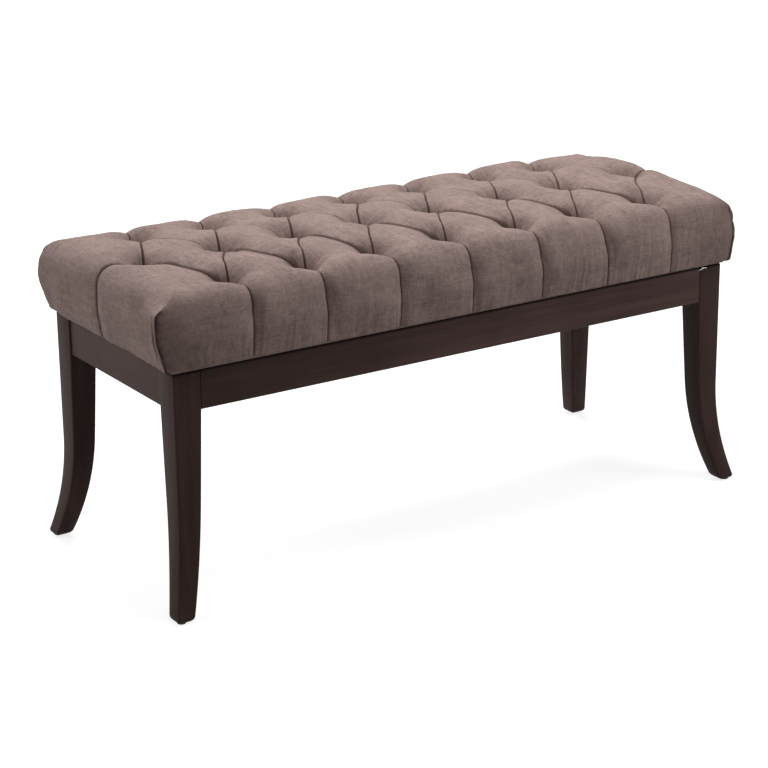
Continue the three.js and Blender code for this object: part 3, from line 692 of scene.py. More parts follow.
def pleat_valley(settings, points, pleat, lean, hang):
    """The soft valley along the pleats, deepest at the shoulder and along the front rim."""
    shoulder = np.sin(math.pi * np.clip(lean, 0, 1)) + lean * (1.0 - hang)
    depth = settings.pleat_depth + (settings.side_pleat_depth - settings.pleat_depth) * lean
    depth = depth + settings.shoulder_pleat_depth * np.clip(shoulder, 0, 1)
    front = rise(-points[:, 1], FRONT_START, FRONT_END) * (1.0 - hang)
    depth = depth + settings.front_pleat_depth * front * (1.0 - FRONT_LOSS * lean)
    wider = 1.0 + front * np.where(pleat.side > 0, LIP_WIDER, TUCK_WIDER)
    return depth * pleat.sink * fade(pleat.soft, settings.pleat_reach * pleat.reach * wider)


# The lip of a pleat: the radius of its edge, how far that edge turns down, and its reach
LIP_RADIUS, LIP_TURN, LIP_REACH = 3.0 * MM, 2.4 * MM, 15 * MM
# The cloth that enters a fold: its reach, and how much wider the slit and deeper the tuck are in a tuft
TUCK_REACH = 13 * MM
TUFT_SLIT, TUFT_TUCK = 1.2, 2.2
# Nearer than this a point lies on the line of its pleat, at the bottom of the fold
ON_LINE = 0.03 * MM
# The painted shade in a fold: its reach over the lip, its reach in the slit as a share of that, and how far
# a strongly shaded pleat spreads it, also in a tuft
SHADE_ON_LIP, SHADE_IN_SLIT = 1.6 * MM, 1.15
SHADE_SPREAD, TUFT_SPREAD = 1.0 * MM, 9.0


def pleat_fold(settings, pleat, pull):
    """The narrow fold of the nearest pleat and the painted shade of each point in it and in the tufts, 0 to
    1.

    Pull grows from 0 to 1 into a tuft."""
    on_lip = pleat.side > 0
    on_line = pleat.least < ON_LINE
    lip = LIP_TURN * (1.0 - np.sqrt(1.0 - fade(pleat.least, LIP_RADIUS, 1.0) ** 2))
    lip -= settings.lip_height * pleat.slit * fade(pleat.least, LIP_REACH)
    slit = settings.fold_width * pleat.slit * (1.0 + TUFT_SLIT * pull)
    tuck = settings.tuck_depth * (1.0 + TUFT_TUCK * pull)
    tucked = settings.fold_depth * fade(pleat.least, slit, 0.9) + tuck * fade(pleat.least, TUCK_REACH, 1.7)
    fold = np.where(on_lip, lip, tucked)
    fold = np.where(on_line, settings.fold_depth + tuck, fold) * pleat.fold

    # Painted shade along the slit and over the lip, spread wider for strongly shaded pleats near a tuft
    painted_lip_shade = np.minimum(pleat.shade, 1.0) * fade(pleat.least, SHADE_ON_LIP * pleat.shade, 0.4)
    strong = np.maximum(pleat.shade - 1.0, 0.0)
    spread = SHADE_IN_SLIT * slit + SHADE_SPREAD * strong * (1.0 + TUFT_SPREAD * pull)
    painted_shade = np.where(on_lip, painted_lip_shade, fade(pleat.least, spread, 0.55 - 0.12 * strong))
    painted_shade = np.where(on_line, 1.0, painted_shade) * np.minimum(pleat.fold, 1.0)
    # Painted shade deep in a tuft
    painted_tuft_shade = 0.9 * np.maximum(pull ** 0.85, rise(pull, 0.30, 0.58))
    return fold, np.maximum(painted_shade, painted_tuft_shade)


# Wavelengths of the slow waves in the padding, of its smaller dents, of the two sets of upright
# ripples above the hem, and of the stretches where these are stronger or weaker
LOFT_LENGTH, DENT_LENGTH = 95 * MM, 24 * MM
PUCKER_LENGTH, FINE_LENGTH, STRETCH_LENGTH = 14 * MM, 6 * MM, 150 * MM
# Depth of the dents and of the finer ripples as shares of the larger ones, and the ripples'
# share at the shoulder
DENT_SHARE, FINE_SHARE, SHOULDER_SHARE = 0.22, 0.4, 0.18


def side_pucker(settings, points, lean, hang):
    """The small upright ripples of the sides, stronger towards the hem."""
    on_long = np.abs(points[:, 1]) - RIM_Y > np.abs(points[:, 0]) - RIM_X
    # The ends take another stretch of the ripples than the long sides, 1 m on
    along = np.where(on_long, points[:, 0], points[:, 1] + 1.0)
    pucker = ripples(along, settings.seed + 2, PUCKER_LENGTH)
    pucker = pucker + FINE_SHARE * ripples(along, settings.seed + 3, FINE_LENGTH)
    strength = settings.pucker * lean * (SHOULDER_SHARE + (1 - SHOULDER_SHARE) * hang ** 1.3)
    strength *= 0.55 + 0.45 * ripples(along, settings.seed + 4, STRETCH_LENGTH)
    return strength * pucker


def cushion_relief(settings, points, lean, hang):
    """How far the cover lies below its smooth envelope, and its painted shade in folds and tufts, 0 to 1.

    Points are in plan with the sides folded flat. Lean is 0 on top and 1 on the upright sides;
    hang runs from 0 at the shoulder to 1 at the hem."""
    pleat = nearest_pleats(points)
    valley = pleat_valley(settings, points, pleat, lean, hang)
    pit, gathers = pits_and_gathers(settings, points)
    fold, painted_shade = pleat_fold(settings, pleat, np.clip(pit / settings.pit_depth, 0.0, 1.0))
    # The unevenness keeps clear of the pleats
    quiet = rise(pleat.least, 1 * MM, 14 * MM)
    clear = rise(pleat.least, 0.5 * MM, 5 * MM)
    loft = settings.unevenness * waves(points, settings.seed, LOFT_LENGTH) * quiet
    dents = DENT_SHARE * settings.unevenness * waves(points, settings.seed + 1, DENT_LENGTH) * quiet
    relief = valley + pit - valley * pit / settings.pit_depth
    relief = relief + fold + gathers * clear + loft + dents
    return relief + side_pucker(settings, points, lean, hang) * clear, painted_shade


def graded(length, first, count):
    """Distances from 0 to length in count steps that start at about first and widen."""
    length = np.asarray(length, float)
    low = np.full(length.shape, 1e-4)
    high = np.full(length.shape, 12.0)
    halvings = 40
    for _ in range(halvings):
        middle = (low + high) / 2
        step = length * np.expm1(middle / count) / np.expm1(middle)
        wide = step > first
        low = np.where(wide, middle, low)
        high = np.where(wide, high, middle)
    rate = (low + high) / 2
    steps = np.arange(count + 1)
    return length[..., None] * np.expm1(rate[..., None] * steps / count) / np.expm1(rate)[..., None]


def graded_both(length, first, last, count):
    """Like graded, but narrow at both ends."""
    length = np.asarray(length, float)
    half = count // 2
    start = graded(length / 2, first, half)
    finish = length[..., None] - graded(length / 2, last, count - half)[..., ::-1]
    return np.concatenate([start, finish[..., 1:]], axis=-1)


def cushion_columns():
    """Places along X: close together beside the tufts, where pleats run, and wider between them."""
    half_pitch = TUFT_SPACING / 2
    from_front = graded(half_pitch * 0.55, 0.45 * MM, 18)
    from_middle = graded(half_pitch * 0.45, 1.1 * MM, 13)
    columns = [-LAST_TUFT]
    for i in range(len(FRONT_TUFTS)):
        tuft = (i - (len(FRONT_TUFTS) - 1) / 2) * TUFT_SPACING
        columns.extend(tuft - half_pitch + from_middle[1:])
        columns.extend((tuft - from_front[::-1])[1:])
        columns.extend(tuft + from_front[1:])
        columns.extend((tuft + half_pitch - from_middle[::-1])[1:])
    outer = graded_both(RIM_X - LAST_TUFT, 1.4 * MM, 0.3 * MM, 16)[1:]
    return np.array([*(-LAST_TUFT - outer[::-1]), *columns, *(LAST_TUFT + outer)])


def zigzag(x):
    """How far the zigzag of pleats lies from the middle line."""
    place = (x + LAST_TUFT) / TUFT_SPACING
    return 2.0 * ROW_SPACING * np.abs(place - np.round(place)) * (np.abs(x) <= LAST_TUFT)


def cushion_rows(x):
    """Places along Y of each column, from the front rim to the back rim."""
    strip_steps, diamond_steps = 44, 20
    turn = zigzag(x)
    strip = turn[:, None] + graded_both(RIM_Y - turn, 0.8 * MM, 0.4 * MM, strip_steps)
    inner = turn[:, None] - graded(np.maximum(turn, 1e-7), 0.9 * MM, diamond_steps)
    return np.concatenate([-strip[:, ::-1], -inner[:, 1:-1], inner[:, ::-1][:, :-1], strip], axis=1)


def side_profile(settings):
    """Rings of the side as (way out from the rim, drop from the crest, lean, hang)."""
    rings = []
    shoulder_steps, face_steps, roll_steps = 18, 26, 5
    fullness, draw_power = 0.92, 2.2
    face_bulge, bulge_end = 1.5 * MM, 1 / 1.6
    turn_in = 4 * MM
    reach, top = COVER_HALF_X - RIM_X, settings.shoulder_drop
    bottom = settings.crest - COVER_LOW - settings.hem_lift - settings.hem_roll
    for step in range(1, shoulder_steps + 1):
        angle = step / shoulder_steps * math.pi / 2
        drop = top * (1 - math.cos(angle) ** fullness)
        rings.append((reach * math.sin(angle) ** fullness, drop, math.sin(angle), 0.0))
    for step in range(1, face_steps + 1):
        share = step / face_steps
        out = reach + face_bulge * math.sin(math.pi * min(share / bulge_end, 1.0))
        out -= settings.hem_draw * share ** draw_power
        rings.append((out, top + (bottom - top) * share, 1.0, share))
    for step in range(1, roll_steps + 1):
        angle = step / roll_steps * math.pi / 2
        out = reach - settings.hem_draw - settings.hem_roll * (1 - math.cos(angle))
        rings.append((out, bottom + settings.hem_roll * math.sin(angle), 1.0, 1.0))
    rings.append((FRAME_HALF_Y - RIM_Y - turn_in, settings.crest - COVER_LOW, 1.0, 1.0))
    return rings


def corner_fold(settings, places, on_long, laps, drop, hang):
    """The mitred fold at the corners of one ring of the side, and its painted shade.

    The cloth of the ends laps over the corner; the cloth of the long sides comes out beneath it.
    Places are the ring's points in plan, drop is its depth below the crest and hang grows from 0
    at the shoulder to 1 at the hem."""
    down = drop / settings.shoulder_drop
    opened, shown, darkened = rise(down, 0.45, 0.64), rise(down, 0.42, 0.54), rise(down, 0, 0.5)
    slit, step_reach = settings.fold_width * 1.5, 15 * MM
    lap_radius, lap_reach, lap_drop = 4.5 * MM, 34 * MM, 32 * MM
    painted_shade_reach, broad_reach, painted_broad_shade = 34 * MM, 130 * MM, 0.38

    steps = np.hypot(*(places - np.roll(places, 1, axis=0)).T)
    along = np.cumsum(steps)
    total = along[-1]
    corners = along[[i for i in range(len(places)) if on_long[i] != on_long[i - 1]]]
    shift = (along[:, None] - corners[None, :] + total / 2) % total - total / 2
    away = np.abs(shift).min(axis=1)
    under = settings.fold_depth * fade(away, slit, 0.8) + settings.corner_step * np.exp(-away / step_reach)
    lap = lap_radius * (1.0 - np.sqrt(1.0 - fade(away, lap_radius, 1.0) ** 2))
    proud = 1 * MM + laps * MM * math.exp(-(((drop - lap_drop) / lap_drop) ** 2))
    lap -= proud * fade(away, lap_reach, 1.6)
    depth = np.where(on_long, under, lap) * opened
    # Painted shade on the long side: dark along the slit, softer beside it and broad far along the side
    soft = (0.65 - 0.25 * hang) * fade(away, painted_shade_reach, 1.3)
    painted_shade = np.maximum(fade(away, slit * 1.2, 0.5), soft) * shown
    painted_shade = np.maximum(painted_shade, painted_broad_shade * fade(away, broad_reach, 0.9) * darkened)
    return depth, np.where(on_long, painted_shade, 0.0)


def twisted(settings, points):
    """Turns the cover a little around each tuft, as the pull of the ties leaves it."""
    twist_reach = 66 * MM
    offset = points[:, None, :] - TUFTS[None]
    distance = np.hypot(offset[..., 0], offset[..., 1])
    nearest = distance.argmin(axis=1)
    pick = np.arange(len(points))
    offset, distance = offset[pick, nearest], distance[pick, nearest]
    angle = settings.twist * np.clip(1.0 - (distance / twist_reach) ** 2, 0.0, 1.0)
    cos, sin = np.cos(angle), np.sin(angle)
    turned = np.column_stack([
        offset[:, 0] * cos - offset[:, 1] * sin, offset[:, 0] * sin + offset[:, 1] * cos,
    ])
    return TUFTS[nearest] + turned


def wander_anchors():
    """Places of the folded plan and how far the cloth has wandered there."""
    places = [*TUFTS]
    shifts = [*FRONT_WANDER, *MIDDLE_WANDER, *REAR_WANDER]
    for past, wander in ((SHOULDER_PAST, SHOULDER_WANDER), (HEM_PAST, HEM_WANDER)):
        for (x, _), shift in zip(FRONT_TUFTS, wander):
            places.append((x, -RIM_Y - past))
            shifts.append((shift, 0))
    for x, _ in REAR_TUFTS:
        places.append((x, RIM_Y + REAR_SHOULDER_PAST))
        shifts.append((REAR_SHOULDER_WANDER, 0))
    for past, shift in LEFT_END_WANDER:
        places.append((-RIM_X - past * MM, 0.0))
        shifts.append((0, shift))
    return np.array(places), np.array(shifts) * MM


def spread_out(points, places, values, radius, least_weight):
    """Values given at a few places, spread smoothly over the points and lost far from them."""
    weight = np.zeros((len(points), 1))
    total = np.zeros((len(points), values.shape[1]))
    for place, value in zip(places, values):
        near = np.exp(-((points - place) ** 2).sum(axis=1) / radius ** 2)[:, None]
        weight += near
        total += near * value
    return total / np.maximum(weight, least_weight)


def wandered(points):
    """How far the hand-set pleats and tufts pull each point of the folded plan from its place."""
    shift = spread_out(points, *wander_anchors(), radius=48 * MM, least_weight=0.5)
    past_x = np.abs(points[:, 0]) - RIM_X
    past_y = np.abs(points[:, 1]) - RIM_Y
    still_corner = 45 * MM
    corner = rise(np.minimum(past_x, past_y), -still_corner, 0)
    return shift * (1.0 - corner)[:, None]


def swollen(points):
    """How much fuller or flatter the padding is at each point in plan."""
    swells = np.array(SWELLS) * MM
    return spread_out(points, swells[:, :2], swells[:, 2:], radius=75 * MM, least_weight=0.3)[:, 0]


def cushion_mesh(settings):
    """The tufted cushion as one closed skin: top, sides, hem, turned-in flap and board pocket."""
    columns = cushion_columns()
    rows = cushion_rows(columns)
    count_x, count_y = rows.shape
    plan = np.stack([np.repeat(columns, count_y), rows.ravel()], axis=1)
    crown = (1 - (plan[:, 0] / RIM_X) ** 2) * (1 - (plan[:, 1] / RIM_Y) ** 2)
    none = np.zeros(len(plan))
    relief, painted_shade = cushion_relief(settings, plan, none, none)
    height = settings.crest + settings.crown * crown - relief
    vertices = [np.column_stack([twisted(settings, plan) + wandered(plan), height])]
    cloth = [plan]
    creases = [painted_shade]
    number = np.arange(count_x * count_y).reshape(count_x, count_y)
    faces = [np.stack(
        [number[:-1, :-1], number[1:, :-1], number[1:, 1:], number[:-1, 1:]], axis=-1
    ).reshape(-1, 4)]
    rim = np.concatenate([
        number[:, 0], number[-1, 1:-1], number[::-1, -1], number[0, -2:0:-1],
    ])
    rings = [rim]

    def add_ring(places, height, folded, painted_shade):
        """Joins one more ring of points to the ring above it."""
        first = sum(len(part) for part in vertices)
        upper, lower = rings[-1], np.arange(first, first + len(places))
        vertices.append(np.column_stack([places, height]))
        cloth.append(folded)
        creases.append(painted_shade)
        faces.append(np.column_stack([lower, np.roll(lower, -1), np.roll(upper, -1), upper]))
        rings.append(lower)

    base = plan[rim]
    reach = settings.corner_reach
    corner_x = np.clip((np.abs(base[:, 0]) - (RIM_X - reach)) / reach, 0, 1)
    corner_y = np.clip((np.abs(base[:, 1]) - (RIM_Y - reach)) / reach, 0, 1)
    on_long = np.abs(np.abs(base[:, 1]) - RIM_Y) < 1e-9
    on_end = np.abs(np.abs(base[:, 0]) - RIM_X) < 1e-9
    signs = np.sign(base)
    at_corner = (signs[:, 0] > 0) + 2 * (signs[:, 1] > 0)
    top, bulge, hem_bulge, laps = (
        np.array(values)[at_corner]
        for values in (CORNER_TOP, CORNER_BULGE, CORNER_HEM, CORNER_LAP)
    )
    bulge_start, bulge_full = 0.10 * settings.shoulder_drop, 0.62 * settings.shoulder_drop
    for out, drop, lean, hang in side_profile(settings):
        share = top + (bulge - top) * rise(drop, bulge_start, bulge_full)
        share = share + (hem_bulge - share) * hang
        share_x, share_y = share.T
        # A side's own way out changes only close to its corner, its way along the rim sooner
        out_x = np.where(on_end, 1.0 - (1.0 - share_x) * corner_y ** 3, share_x * corner_x ** 2)
        out_y = np.where(on_long, 1.0 - (1.0 - share_y) * corner_x ** 3, share_y * corner_y ** 2)
        way = np.column_stack([out_x, out_y]) * signs
        folded = base + way * (out + lean * drop)
        relief, painted_shade = cushion_relief(
            settings, folded, np.full(len(base), lean), np.full(len(base), hang),
        )
        ring = base + way * (out - relief * lean)[:, None]
        depth, fold = corner_fold(settings, ring, on_long, laps, drop, hang)
        ring[:, 1] -= np.where(on_long, signs[:, 1] * depth, 0.0)
        ring[:, 0] -= np.where(on_long, 0.0, signs[:, 0] * depth)
        pull = wandered(folded)
        ring[:, 0] += pull[:, 0] * np.where(on_end, 1.0 - lean, 1.0)
        ring[:, 1] += pull[:, 1] * np.where(on_long, 1.0 - lean, 1.0)
        height = np.full(len(base), settings.crest - drop) - relief * (1 - lean)
        # The ring's painted shade is the darker of the pleats' and of the corner fold's
        add_ring(ring, height, folded, np.maximum(painted_shade, fold))

    flap_width, gap = 24 * MM, 0.3 * MM
    board_half = np.array([BOARD_HALF_X, BOARD_HALF_Y]) + gap
    shares = base / np.abs(base).max(axis=0)
    for half, z in (
        (board_half - flap_width, COVER_LOW), (board_half - flap_width, BOARD_LOW - gap),
        (board_half, BOARD_LOW - gap), (board_half, BOARD_TOP + gap),
    ):
        add_ring(shares * half, np.full(len(shares), z), cloth[-1], np.zeros(len(shares)))
    polygons = np.concatenate(faces).tolist()
    polygons.append(rings[-1][::-1].tolist())
    points = np.concatenate(vertices)
    hem = COVER_LOW + settings.hem_lift + settings.hem_roll
    rim_corner = np.hypot(RIM_X - np.abs(points[:, 0]), RIM_Y - np.abs(points[:, 1]))
    swell = swollen(points[:, :2]) - settings.corner_drop * fade(rim_corner, 110 * MM)
    points[:, 2] += swell * rise(points[:, 2], hem, settings.crest)
    return points, polygons, np.concatenate(cloth), np.concatenate(creases)


def make_cushion(settings, finish):
    """The cushion with its cloth map, its painted crease shade and its linen."""
    points, polygons, cloth, creases = cushion_mesh(settings)
    mesh = bpy.data.meshes.new("tufted_cushion")
    mesh.from_pydata(points.tolist(), [], polygons)
    layer = mesh.uv_layers.new(name="cloth")
    loops = np.zeros(len(mesh.loops), int)
    mesh.loops.foreach_get("vertex_index", loops)
    layer.data.foreach_set("uv", cloth[loops].astype(np.float32).ravel())
    # The painted shade of folds and tufts, which the linen reads
    attribute = mesh.attributes.new("painted_shade", "FLOAT", "POINT")
    attribute.data.foreach_set("value", creases.astype(np.float32))
    work = bmesh.new()
    work.from_mesh(mesh)
    bmesh.ops.remove_doubles(work, verts=work.verts, dist=1e-6)
    bmesh.ops.recalc_face_normals(work, faces=work.faces)
    work.to_mesh(mesh)
    work.free()
    obj = new_piece(mesh)
    give_finish(obj, linen_material(finish.cloth))
    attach(obj, "root")
    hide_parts("seat_cover", "foam_slab")


class BENCH_OT_cushion(bpy.types.Operator):
    """Make the diamond-tufted cushion over the seat board"""

    bl_idname = "bench.cushion"
    bl_label = "Tufted Cushion"

    def execute(self, context):
        scene = context.scene
        make_cushion(scene.bench_cushion, scene.bench_finish)
        return {"FINISHED"}


# Legs


def leg_section(settings, height):
    """The share of the whole sweep, and the side, of a leg's section at a height."""
    sweep = max(settings.sweep_height - height, 0.0) / settings.sweep_height
    sweep = sweep ** settings.sweep_power
    share = min(height / APRON_LOW, 1.0) ** settings.taper_power
    side = settings.foot_side + (settings.top_side - settings.foot_side) * share
    return sweep, side


def leg_heights(settings, sole, top):
    """Every section above the sole as (height, inset of its sides)."""
    sole_steps, sweep_steps, shank_steps = 6, 22, 5
    rounding, knee = settings.foot_rounding, settings.sweep_height
    sections = []
    for i in range(1, sole_steps + 1):
        angle = i / sole_steps * math.pi / 2
        sections.append((sole + rounding * (1 - math.cos(angle)), rounding * (1 - math.sin(angle))))
    start = sections[-1][0]
    sections += [(start + (knee - start) * i / sweep_steps, 0.0) for i in range(1, sweep_steps + 1)]
    sections += [(knee + (APRON_LOW - knee) * i / shank_steps, 0.0) for i in range(1, shank_steps + 1)]
    return [*sections, (top, 0.0)]


def make_leg(settings, corner, material):
    """One sabre leg, extruded from its sole section by section."""
    sign_x, sign_y = CORNERS[corner]
    low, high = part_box("leg_" + corner)
    far_x = max(abs(low[0]), abs(high[0]))
    far_y = max(abs(low[1]), abs(high[1]))
    sole = low[2]
    sole_sweep, _ = leg_section(settings, sole)
    reach_x = (far_x - FRAME_HALF_X) / sole_sweep
    reach_y = (far_y - FRAME_HALF_Y) / sole_sweep

    def centre(height, inset):
        sweep, side = leg_section(settings, height)
        x = FRAME_HALF_X + reach_x * sweep - side / 2
        y = FRAME_HALF_Y + reach_y * sweep - side / 2
        return Vector((sign_x * x, sign_y * y, height)), side - 2 * inset

    place, side = centre(sole, settings.foot_rounding)
    select_only()
    bpy.ops.mesh.primitive_plane_add(size=1, location=place)
    obj = bpy.context.object
    obj.scale = (side, side, 1)
    bpy.ops.object.transform_apply(location=True, rotation=True, scale=True)
    bpy.ops.object.mode_set(mode="EDIT")
    bpy.ops.mesh.select_all(action="SELECT")
    for height, inset in leg_heights(settings, sole, high[2]):
        next_place, next_side = centre(height, inset)
        bpy.ops.mesh.extrude_region_move(
            TRANSFORM_OT_translate={"value": next_place - place},
        )
        ratio = next_side / side
        bpy.ops.transform.resize(value=(ratio, ratio, 1), center_override=next_place)
        place, side = next_place, next_side
    bpy.ops.mesh.select_all(action="SELECT")
    bpy.ops.mesh.normals_make_consistent(inside=False)
    bpy.ops.object.mode_set(mode="OBJECT")
    rounding = obj.modifiers.new("arris", "BEVEL")
    rounding.width = settings.arris
    rounding.segments = 4
    rounding.limit_method = "ANGLE"
    rounding.angle_limit = math.radians(40)
    apply_modifiers(obj)
    bpy.ops.object.shade_smooth_by_angle(angle=math.radians(30))
    finish_piece(obj, "sabre_leg_" + corner, material)
    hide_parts("leg_" + corner)


class BENCH_OT_legs(bpy.types.Operator):
    """Make the four sabre legs and finish the aprons"""

    bl_idname = "bench.legs"
    bl_label = "Legs and Aprons"

    def execute(self, context):
        scene = context.scene
        stain = scene.bench_finish.stain
        # Painted shadow under the cushion on uprights and long rails, painted shade towards the left on
        # long rails
        upright = stained_wood_material("espresso_upright", shade(stain, 0.62), "Z", painted_shadow=0.85)
        long_rail = stained_wood_material("espresso_long_rail", stain, "X", painted_shadow=0.95, painted_left_shade=0.45)
        short_rail = stained_wood_material("espresso_short_rail", shade(stain, 0.82), "Y")
        for corner in CORNERS:
            make_leg(scene.bench_legs, corner, upright)
        for side, material in (
            ("front", long_rail), ("rear", long_rail), ("left", short_rail), ("right", short_rail),
        ):
            give_finish(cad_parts["apron_" + side], material)
        return {"FINISHED"}


# Underside


def slack_at(x, y, half_x, half_y):
    """How freely the dust cover hangs at a point, 0 where slats or edges hold it up, to 1."""
    slat_low, slat_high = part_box("slat_right")
    free = 0.0
    for left, right in ((-half_x, -slat_high[0]), (-slat_low[0], slat_low[0]), (slat_high[0], half_x)):
        if left < x < right:
            free = math.sin(math.pi * (x - left) / (right - left))
    return free * math.sin(math.pi * min(max((y + half_y) / (2 * half_y), 0.0), 1.0)) ** 0.5


def dust_cover_drop(settings, x, y):
    """How far the dust cover hangs at a point, and how far it is from the cover's edge."""
    pucker_depth, pucker_reach = 0.35 * MM, 22 * MM
    past_x, past_y = DUST_HALF_X - abs(x), DUST_HALF_Y - abs(y)
    edge = min(past_x, past_y)
    along = x if past_y < past_x else y
    held = math.cos(2 * math.pi * along / settings.staple_pitch)
    free = slack_at(x, y, DUST_HALF_X, DUST_HALF_Y)
    pucker = pucker_depth * (1 - held) * math.exp(-edge / pucker_reach) * min(free * 6, 1)
    return settings.sheet_sag * free + pucker, edge


def make_dust_cover(settings, material):
    """A thin cloth under the board: turned-in edges, puckers at its staples and a slight sag."""
    step = 8 * MM
    count_x, count_y = round(2 * DUST_HALF_X / step), round(2 * DUST_HALF_Y / step)
    top = DUST_TOP - 0.1 * MM
    work = bmesh.new()
    upper, lower = {}, {}
    for i in range(count_x + 1):
        for j in range(count_y + 1):
            x, y = (2 * i / count_x - 1) * DUST_HALF_X, (2 * j / count_y - 1) * DUST_HALF_Y
            drop, edge = dust_cover_drop(settings, x, y)
            layers = 2 if edge < settings.hem_width else 1
            upper[i, j] = work.verts.new((x, y, top - drop))
            lower[i, j] = work.verts.new((x, y, top - drop - layers * settings.sheet_thickness))
    for skin in (upper, lower):
        for i in range(count_x):
            for j in range(count_y):
                work.faces.new((skin[i, j], skin[i + 1, j], skin[i + 1, j + 1], skin[i, j + 1]))
    rim = [(i, 0) for i in range(count_x)] + [(count_x, j) for j in range(count_y)]
    rim += [(i, count_y) for i in range(count_x, 0, -1)] + [(0, j) for j in range(count_y, 0, -1)]
    for here, beyond in zip(rim, rim[1:] + rim[:1]):
        work.faces.new((upper[here], lower[here], lower[beyond], upper[beyond]))
    bmesh.ops.recalc_face_normals(work, faces=work.faces)
    mesh = bpy.data.meshes.new("stapled_dust_cover")
    work.to_mesh(mesh)
    work.free()
    obj = new_piece(mesh)
    give_finish(obj, material)
    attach(obj, "root")
    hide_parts("dust_cover")


def place_copies(pattern, places, name, material):
    """Copies a pattern piece to each place and joins the copies into one finished piece."""
    copies = []
    for place in places:
        copy = pattern.copy()
        copy.data = pattern.data.copy()
        copy.matrix_world = place
        bpy.context.scene.collection.objects.link(copy)
        copies.append(copy)
    select_only(*copies)
    bpy.ops.object.join()
    finish_piece(copies[0], name, material)


def make_staple(settings):
    """One wire staple with its crown down and its legs up, at the origin."""
    wire_width, wire_height, leg_length = 1.2 * MM, 0.6 * MM, 4 * MM
    select_only()
    bpy.ops.mesh.primitive_cube_add(size=1, location=(0, 0, 0))
    staple = bpy.context.object
    staple.scale = (settings.staple_crown, wire_width, wire_height)
    bpy.ops.object.transform_apply(location=True, rotation=True, scale=True)
    bpy.ops.object.mode_set(mode="EDIT")
    work = bmesh.from_edit_mesh(staple.data)
    inner = settings.staple_crown / 2 - wire_width
    for cut in (inner, -inner):
        bmesh.ops.bisect_plane(
            work, geom=[*work.verts, *work.edges, *work.faces], plane_co=(cut, 0, 0), plane_no=(1, 0, 0),
        )
    for face in work.faces:
        face.select_set(face.normal.z > 0.9 and abs(face.calc_center_median().x) > inner)
    bmesh.update_edit_mesh(staple.data)
    bpy.ops.mesh.extrude_context_move(TRANSFORM_OT_translate={"value": (0, 0, leg_length)})
    bpy.ops.object.mode_set(mode="OBJECT")
    rounding = staple.modifiers.new("wire", "BEVEL")
    rounding.width = 0.25 * MM
    rounding.segments = 3
    apply_modifiers(staple)
    bpy.ops.object.shade_smooth_by_angle(angle=math.radians(40))
    return staple


def make_screw(settings):
    """One pan-head screw with a cross recess, its head facing +Z, at the origin."""
    radius, length, shank = settings.head_radius, 12 * MM, 0.5
    slot_length, slot_width, slot_depth = 1.1, 0.24, 2.2 * MM
    # The sections up from the tip, as (height, radius as a share of the head's)
    sections = (
        (0.0, shank), (0.0, 1.0), (0.9 * MM, 1.0), (1.6 * MM, 0.9), (2.1 * MM, 0.68), (2.3 * MM, 0.4),
    )
    select_only()
    bpy.ops.mesh.primitive_circle_add(vertices=32, radius=radius * shank, fill_type="NGON")
    screw = bpy.context.object
    bpy.ops.object.mode_set(mode="EDIT")
    bpy.ops.mesh.select_all(action="SELECT")
    bpy.ops.transform.translate(value=(0, 0, -length))
    height, size = -length, shank
    for next_height, next_size in sections:
        bpy.ops.mesh.extrude_region_move(TRANSFORM_OT_translate={"value": (0, 0, next_height - height)})
        ratio = next_size / size
        bpy.ops.transform.resize(value=(ratio, ratio, 1), center_override=(0, 0, next_height))
        height, size = next_height, next_size
    bpy.ops.mesh.select_all(action="SELECT")
    bpy.ops.mesh.normals_make_consistent(inside=False)
    bpy.ops.object.mode_set(mode="OBJECT")
    for turn in (0, math.pi / 2):
        select_only()
        bpy.ops.mesh.primitive_cube_add(size=1, location=(0, 0, slot_depth), rotation=(0, 0, turn))
        cutter = bpy.context.object
        cutter.scale = (radius * slot_length, radius * slot_width, slot_depth)
        recess = screw.modifiers.new("recess", "BOOLEAN")
        recess.object = cutter
        recess.operation = "DIFFERENCE"
        recess.solver = "EXACT"
        apply_modifiers(screw)
        bpy.data.objects.remove(cutter)
    select_only(screw)
    bpy.ops.object.shade_smooth_by_angle(angle=math.radians(35))
    return screw


def frame_at(place, across, up):
    """A placing with its X along `across` and its Z along `up`."""
    up = Vector(up).normalized()
    across = (Vector(across) - up * up.dot(Vector(across))).normalized()
    return Matrix.Translation(place) @ Matrix((across, up.cross(across), up)).transposed().to_4x4()


def dust_staple_places(settings):
    """Staples along the turned-in edge, a little uneven in place and turn, none on a slat."""
    half_x, half_y = DUST_HALF_X - settings.hem_width / 2, DUST_HALF_Y - settings.hem_width / 2
    z = DUST_TOP - 0.1 * MM - 2 * settings.sheet_thickness
    along_error, out_error, turn_error = 2.5 * MM, 1 * MM, 0.12
    generator = np.random.default_rng(5)
    places = []
    for half, other, along_x in ((half_x, half_y, True), (half_y, half_x, False)):
        count = math.floor((half - 0.4 * settings.staple_pitch) / settings.staple_pitch)
        for sign in (-1, 1):
            for number in range(-count, count + 1):
                along = number * settings.staple_pitch + generator.normal(0, along_error)
                out = sign * other + generator.normal(0, out_error)
                place = (along, out, z) if along_x else (out, along, z)
                if slack_at(place[0], place[1], 2 * half_x, 2 * half_y) == 0.0:
                    continue
                angle = generator.normal(0, turn_error) + (0.0 if along_x else math.pi / 2)
                places.append(frame_at(place, (math.cos(angle), math.sin(angle), 0), (0, 0, 1)))
    return places


